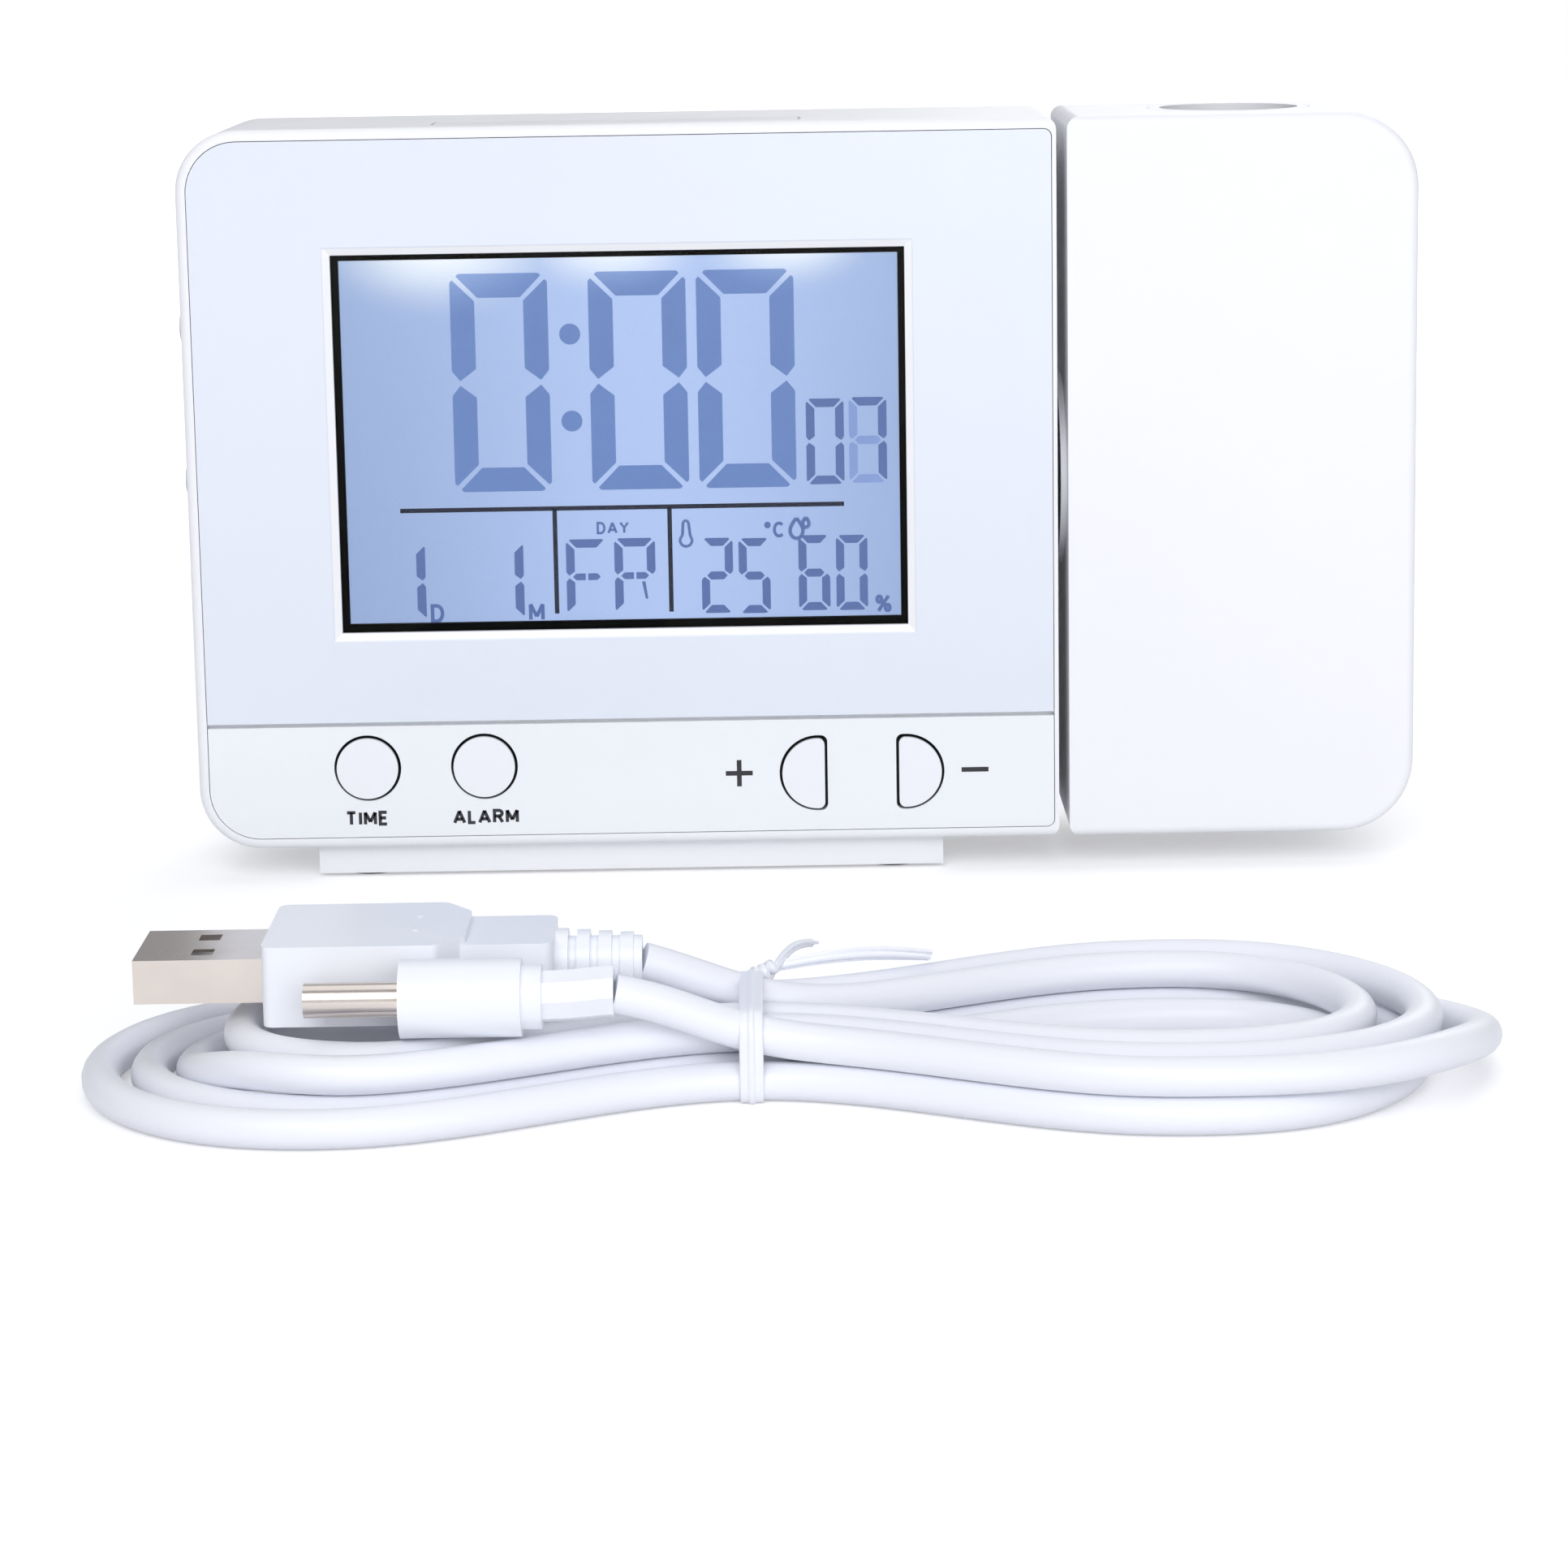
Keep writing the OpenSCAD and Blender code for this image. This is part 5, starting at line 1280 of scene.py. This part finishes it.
@dataclass
class Lead:
    """The tied USB lead: hank, plugs and twist tie."""

    groups: Groups
    diameter: float = 3.9 * MM
    slot_step: float = 3.9 * MM
    widening: float = 41 * MM
    side_steps: int = 9
    cap_steps: int = 12
    waist_x: float = -6 * MM
    waist_y: float = -101 * MM
    tie_w: float = 2.4 * MM
    tie_t: float = 0.45 * MM
    tie_wire: float = 0.95 * MM
    tie_turns: float = 1.5
    twist_share: float = 0.4
    twist_run: Point = (2.2, 0.9, 0.7)
    twist_r: float = 0.7125 * MM
    untwist_share: float = 0.3
    tail_bow: float = 0.8 * MM
    tail_turn: float = 1.2
    tail_sizes: tuple[float, float] = (0.45, 0.85)
    tail_steps: int = 24
    band_corners: int = 24
    knot_back: float = 0.4
    tails: tuple[Tail, ...] = (Tail(0.0, (4.0, 6.6, 1.0)), Tail(math.pi, (16.5, 3.4, 0.3)))
    turns: tuple[Turn, ...] = (
        Turn(1, 62, 17, 17.4, 12.8, 1, 1, 0, Layer.UPPER, Layer.UPPER),
        Turn(-1, 52, 17, 12.8, 22, -1, 0, 2, Layer.UPPER, Layer.UPPER),
        Turn(1, 68.5, 22, 22, 17.4, 1, 2, -1, Layer.UPPER, Layer.UPPER),
        Turn(-1, 57, 18, 17.4, 12.8, -1, -1, 0, Layer.UPPER, Layer.LOWER, (0.36, 0.5)),
        Turn(1, 61, 16, 12.8, 17.4, 1, 0, -1, Layer.LOWER, Layer.LOWER),
        Turn(-1, 61.6, 21, 17.4, 17.4, -1, -1, 1, Layer.LOWER, Layer.LOWER),
        Turn(1, 67.5, 21, 17.4, 22, 1, 1, -2, Layer.LOWER, Layer.LOWER),
        Turn(-1, 66.4, 23, 22, 22, -1, -2, 2, Layer.LOWER, Layer.LOWER),
        Turn(1, 74.4, 25, 22.2, 22.2, 1, 2, -2, Layer.LOWER, Layer.UPPER, (0.42, 0.6)),
    )
    curve_steps: int = 4
    path_step: float = 1.25 * MM
    relax_passes: int = 14
    usb_end: tuple[Point, ...] = (
        (-11.0, 1.5, 11.9), (-10.0, 1.5, 11.8), (-8.2, 1.8, 11.1), (-5.8, 2.3, 9.9), (-3.2, 2.9, 8.7),
        (0, 3.4, 7.5), (3.4, 3.9, 6.6),
    )
    inlet_end: tuple[Point, ...] = (
        (3.2, -8.0, 6.1), (0, -8.2, 6.8), (-3.4, -8.6, 8.0), (-6.8, -9.1, 9.6), (-9.6, -9.6, 10.9),
        (-11.8, -9.85, 11.58), (-13.5, -9.9, 11.7),
    )

    def near_waist(self, offsets: tuple[Point, ...]) -> list[Point]:
        """Turn offsets from the waist, in millimetres, into points."""
        return [(self.waist_x + x * MM, self.waist_y + y * MM, z * MM) for x, y, z in offsets]

    def route(self) -> list[Vector]:
        """Lay the whole lead, from the USB plug through the hank to the inlet plug.

        Returns:
            Points along its centreline.
        """
        strands = [turn.points(self) for turn in self.turns]
        strands[0], strands[-1] = strands[0][2:], strands[-1][:-1]
        points = self.near_waist(self.usb_end) + sum(strands, []) + self.near_waist(self.inlet_end)
        return relaxed(evened(rounded_path(points, self.curve_steps), self.path_step), self.relax_passes)

    def build(self) -> None:
        """Build the lead and its tie."""
        route = self.route()
        jacket = Moulding("cable_jacket", (242, 244, 252), roughness=0.38, grain_depth=0.02, grain_scale=1400)
        cable = SweepTree(Section.ROUND).sweep("usb_cable", route, self.diameter, sides=18)
        finished(cable, jacket.build(self.groups), "clock")
        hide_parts("cable_hank", "cable_leads")
        self.tie(route)

    def tie(self, route: list[Vector]) -> bpy.types.Object:
        """Wrap the waist in a coated wire tie, with its twist and two tails.

        Args:
            route: The lead's centreline.

        Returns:
            The tie, one mesh.
        """
        ribbon, core = SweepTree(Section.RIBBON), SweepTree(Section.ROUND)
        band = self.band(route)
        top = max(band, key=lambda point: point.z + self.knot_back * point.y)
        parts = [
            ribbon.sweep("tie_band", band, self.tie_w, self.tie_t, sides=2, closed=True),
            core.sweep("tie_band_wire", band, self.tie_wire, sides=8, closed=True),
        ]
        for tail in self.tails:
            path, tilts, scales = self.tail(tail, top)
            parts.append(ribbon.sweep("tie_tail", path, self.tie_w, self.tie_t, 2, tilts, scales))
            parts.append(core.sweep("tie_tail_wire", path, self.tie_wire, sides=8))
        form = bmesh.new()
        for part in parts:
            form.from_mesh(part.data)
            bpy.data.objects.remove(part)
        finish = Moulding("tie_ribbon", (244, 246, 253), roughness=0.3, grain_depth=0.01, coat=0.2)
        tie = mesh_object("wire_tie", form, smooth=True)
        finished(tie, finish.build(self.groups), "clock")
        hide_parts("twist_tie")
        return tie

    def tail(self, tail: Tail, start: Vector) -> tuple[list[Vector], list[float], list[float]]:
        """Lay one tail of the tie: twisted round the other one first, and then on its own.

        Args:
            tail: The tail.
            start: Where it leaves the band.

        Returns:
            Its points, and the tilt and the size of the ribbon at each.
        """
        path, tilts, scales = [], [], []
        first, last = self.tail_sizes
        for step in range(self.tail_steps + 1):
            share = step / self.tail_steps
            wind = min(1.0, share / self.twist_share)
            leave = max(0.0, share - self.twist_share) / (1 - self.twist_share)
            angle = tail.angle + wind * self.tie_turns * 2 * math.pi
            around = self.twist_r * (1 - smooth_step((share - self.twist_share) / self.untwist_share))
            bow = Vector((0, 0, self.tail_bow * math.sin(math.pi * leave)))
            swing = Vector((0, math.cos(angle) * around, math.sin(angle) * around))
            run = Vector(self.twist_run) * MM * wind + Vector(tail.reach) * MM * leave
            path.append(start + run + bow + swing)
            tilts.append(angle + self.tail_turn * leave)
            scales.append(first + (last - first) * leave)
        return path, tilts, scales

    def band(self, route: list[Vector]) -> list[Vector]:
        """Lay a closed path round the strands where they cross the waist.

        Args:
            route: The lead's centreline.

        Returns:
            Points of the path, once round.
        """
        reach = (self.diameter + self.tie_t) / 2
        rim = []
        for near, far in zip(route, route[1:]):
            if (near.x - self.waist_x) * (far.x - self.waist_x) <= 0 and near.x != far.x:
                middle = near.lerp(far, (self.waist_x - near.x) / (far.x - near.x))
                turns = ring(self.band_corners)
                rim += [(middle.y + reach * math.cos(a), middle.z + reach * math.sin(a)) for a in turns]
        rim.sort()
        hull = []
        for side in (rim, rim[::-1]):
            chain = []
            for y, z in side:
                while len(chain) > 1:
                    (y0, z0), (y1, z1) = chain[-2:]
                    if (y1 - y0) * (z - z0) > (z1 - z0) * (y - y0):
                        break
                    chain.pop()
                chain.append((y, z))
            hull += chain[:-1]
        corners = [Vector((self.waist_x, y, max(z, self.tie_t / 2))) for y, z in hull]
        path = []
        for near, far in zip(corners, corners[1:] + corners[:1]):
            count = max(1, round((far - near).length / MM))
            path += [near.lerp(far, k / count) for k in range(count)]
        return path


# ---------------------------------------------------------------- finishes of the frame's nodes


@dataclass
class Dressing:
    """Gives every node of the frame its finish."""

    groups: Groups
    finishes: tuple = field(default_factory=lambda: (
        (Moulding("case_moulding", (247, 248, 252)),
         ("front_shell", "rear_shell", "foot", "projector_front_shell", "projector_rear_shell",
          "battery_door", "lens_bezel")),
        # The face plate's bevel round the display window takes the default near-white core as a painted
        # highlight, so that it reads bright on every side.
        (EdgeLightAndShadeMoulding("face_panel", (231, 237, 248), roughness=0.3, grain_depth=0.006, coat=0.2,
                         front=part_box("face_plate")[0].y), ("face_plate",)),
        (Moulding("key_panel", (244, 247, 251), roughness=0.3, grain_depth=0.006, coat=0.2),
         ("key_plate",)),
        # The front keys' sides behind their fronts take the dark core (52, 54, 62) as painted shade in the gaps
        # round the keys.
        (EdgeLightAndShadeMoulding("front_key_caps", (244, 246, 251), roughness=0.36, core=(52, 54, 62),
                         front=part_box("key_plate")[0].y), ("time_key", "alarm_key", "plus_key", "minus_key")),
        (Moulding("snooze_cap", (244, 246, 251), roughness=0.36), ("snooze_bar",)),
        # The side keys are painted greyer than the white case, as painted shade, so that they read against the
        # white ground.
        (Moulding("side_key_caps", (206, 209, 218), roughness=0.3), ("upper_side_key", "lower_side_key")),
        (ClearPlastic("coated_window", ior=1.18), ("lcd_window",)),
        (ClearPlastic("clear_acrylic"), ("light_guide",)),
        (ClearPlastic("lens_glass", ior=1.52, roughness=0.01), ("condenser_lens", "projection_lens")),
        (Moulding("small_display", (70, 84, 120), roughness=0.2, coat=0.5), ("projector_lcd",)),
        (Moulding("lamp_resin", (246, 244, 225), roughness=0.25, coat=0.4),
         ("backlight_leds", "projector_led")),
        (Moulding("reflector_white", (244, 244, 244), roughness=0.5), ("lcd_holder",)),
        (CircuitBoard("board_mask"), ("main_board", "climate_sensor", "led_board")),
        (Moulding("black_moulding", (30, 30, 34), roughness=0.45, grain_depth=0.02),
         ("board_parts", "key_switches", "buzzer", "power_inlet", "optics_frame", "focus_wheel",
          "lens_barrel", "hub_bush", "hub_shaft")),
        # The near-black gasket round the display stands in for the shadow in the gap between the window's edge
        # and the display: painted shade.
        (Moulding("gasket_painted_shade", (8, 9, 12), roughness=0.95, grain_depth=0.05, grain_scale=900, shine=0.05),
         ("lcd_gasket",)),
        (Moulding("contact_rubber", (205, 150, 160), roughness=0.6), ("zebra_strip",)),
        (SheetMetal("plated_steel", (186, 186, 190)),
         ("board_screws", "case_screws", "foot_screws", "projector_screws", "optics_screws",
          "battery_contacts", "hub_clip", "wave_washer", "lens_ring")),
        (Moulding("washer_fibre", (92, 72, 54), roughness=0.8, grain_depth=0.05), ("friction_washer",)),
        (CellJacket("cell_jacket", (52, 60, 72), roughness=0.25, coat=0.5,
                    ends=tuple(corner.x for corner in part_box("battery_cells"))), ("battery_cells",)),
        (Moulding("pad_rubber", (58, 58, 62), roughness=0.85, grain_depth=0.05), ("foot_pads",)),
        (Moulding("wire_red", (176, 36, 36), roughness=0.45), ("projector_wires", "clock_wires")),
        (Moulding("plug_moulding", (243, 246, 253), roughness=0.34, grain_depth=0.015, coat=0.1),
         ("usb_plug", "barrel_plug")),
        (Moulding("tie_plastic", (246, 248, 254), roughness=0.32), ("twist_tie",)),
        (SheetMetal("nickel_shell", (226, 217, 210), roughness=0.16), ("usb_shell", "barrel_tip")),
        (Moulding("hank_jacket", (238, 240, 252), roughness=0.35), ("cable_hank", "cable_leads")),
    ))

    def build(self) -> None:
        """Put each finish on its nodes."""
        for finish, names in self.finishes:
            material = finish.build(self.groups)
            for name in names:
                dressed(bpy.data.objects[name], material)
            LOG.info("%s on %s", finish.name, ", ".join(names))


# ---------------------------------------------------------------- studio


@dataclass(frozen=True)
class Lamp:
    """A square lamp that faces the object."""

    name: str
    place: Point
    size: float
    watts: float
    aim: Point = (0, -0.02, 0.045)

    def build(self) -> None:
        """Hang the lamp."""
        data = bpy.data.lights.new(self.name, "AREA")
        data.energy, data.size = self.watts, self.size
        obj = linked(self.name, data)
        obj.location = self.place
        obj.rotation_euler = (Vector(self.aim) - Vector(self.place)).to_track_quat("-Z", "Y").to_euler()


@dataclass
class Studio:
    """The floor, the light and the camera."""

    groups: Groups
    picture: int = 1932
    clock_px: tuple[float, float] = (990, 600)
    frame_width: float = 189.9 * MM
    distance: float = 480 * MM
    height: float = 118 * MM
    shift_up: float = -0.12
    roll: float = math.radians(0.95)
    sensor: float = 36.0
    nearest: float = 10 * MM
    floor_size: float = 4.0
    floor_drop: float = 0.05 * MM
    fade_near: float = 0.15
    fade_far: float = 0.7
    fade_floor: float = 0.36
    floor_colour: Linear = (0.82, 0.82, 0.84, 1)
    world_colour: Linear = (0.95, 0.96, 1, 1)
    world_strength: float = 0.38
    lamps: tuple[Lamp, ...] = (
        Lamp("key_lamp", (-0.2, -0.95, 0.72), 0.7, 4.8),
        Lamp("fill_lamp", (0.28, -1.0, 0.3), 0.7, 3.4),
        Lamp("top_lamp", (0.0, 0.15, 1.1), 0.9, 2.2),
        Lamp("back_lamp", (0.35, 0.95, 0.6), 0.7, 3.2),
    )

    def build(self) -> None:
        """Set up the floor, the light and the camera."""
        self.floor()
        self.world()
        for lamp in self.lamps:
            lamp.build()
        self.camera()

    def floor(self) -> None:
        """Lay a plain white floor that keeps the object's shadow."""
        form = bmesh.new()
        bmesh.ops.create_grid(form, x_segments=1, y_segments=1, size=self.floor_size / 2)
        bmesh.ops.translate(form, verts=form.verts, vec=(0, 0, -self.floor_drop))
        obj = mesh_object("studio_floor", form)
        easel = Easel("studio_floor", self.groups)
        path = easel.add("ShaderNodeLightPath").outputs
        seen = easel.maths("MAXIMUM", path["Is Camera Ray"], path["Is Glossy Ray"])
        seen = easel.maths("MAXIMUM", seen, path["Is Transmission Ray"])
        away = easel.vectors("LENGTH", easel.place, out=1)
        fade = easel.ramp(away, self.fade_near, self.fade_far, To_Min=self.fade_floor)
        easel.surface(
            Base_Color=self.floor_colour, Roughness=0.9, Specular_IOR_Level=0.1,
            Emission_Color=(1, 1, 1, 1), Emission_Strength=easel.maths("MULTIPLY", seen, fade),
        )
        dressed(obj, easel.material)

    def world(self) -> None:
        """Surround the object with a pale light, which looks white to the camera."""
        world = bpy.data.worlds.new("studio")
        bpy.context.scene.world = world
        world.use_nodes = True
        world.node_tree.nodes.clear()
        shader = Shader(world.node_tree)
        path = shader.add("ShaderNodeLightPath").outputs
        seen = shader.maths("MAXIMUM", path["Is Camera Ray"], path["Is Transmission Ray"])
        lit = shader.add("ShaderNodeBackground", Color=self.world_colour, Strength=self.world_strength)
        white = shader.add("ShaderNodeBackground", Color=(1, 1, 1, 1), Strength=1.0)
        mixed = shader.add("ShaderNodeMixShader")
        for source, target in zip((seen, lit.outputs[0], white.outputs[0]), mixed.inputs):
            shader.plug(source, target)
        shader.add("ShaderNodeOutputWorld", Surface=mixed.outputs[0])

    def camera(self) -> None:
        """Aim the camera so that the clock's middle falls where it should in the picture."""
        low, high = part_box("front_shell")
        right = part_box("projector_front_shell")[1].x
        middle = Vector(((low.x + right) / 2, low.y, (low.z + high.z) / 2))
        drop = self.height - middle.z
        lens_per_sensor = math.hypot(self.distance, drop) / self.frame_width
        aside = (self.clock_px[0] / self.picture - 0.5) * self.frame_width
        up = 0.5 - self.clock_px[1] / self.picture + self.shift_up
        pitch = math.atan2(drop, self.distance) + math.atan(up / lens_per_sensor)
        data = bpy.data.cameras.new("camera")
        data.sensor_width = self.sensor
        data.lens = self.sensor * lens_per_sensor
        data.shift_y = self.shift_up
        data.clip_start = self.nearest
        obj = linked("camera", data)
        obj.location = (middle.x - aside, middle.y - self.distance, self.height)
        turn = Matrix.Rotation(math.pi / 2 - pitch, 3, "X") @ Matrix.Rotation(-self.roll, 3, "Z")
        obj.rotation_euler = turn.to_euler()
        bpy.context.scene.camera = obj


def main() -> None:
    """Load the frame and build every sub-assembly."""
    logging.basicConfig(level=logging.INFO, format="%(name)s: %(message)s")
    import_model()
    bpy.context.scene.view_settings.view_transform = "Standard"
    groups = {GroupName.SATIN: satin_group(), GroupName.DRAWN: drawn_group()}
    for assembly in (Studio, Dressing, Lead, Display, Lettering):
        assembly(groups).build()


if __name__ == "__main__":
    main()
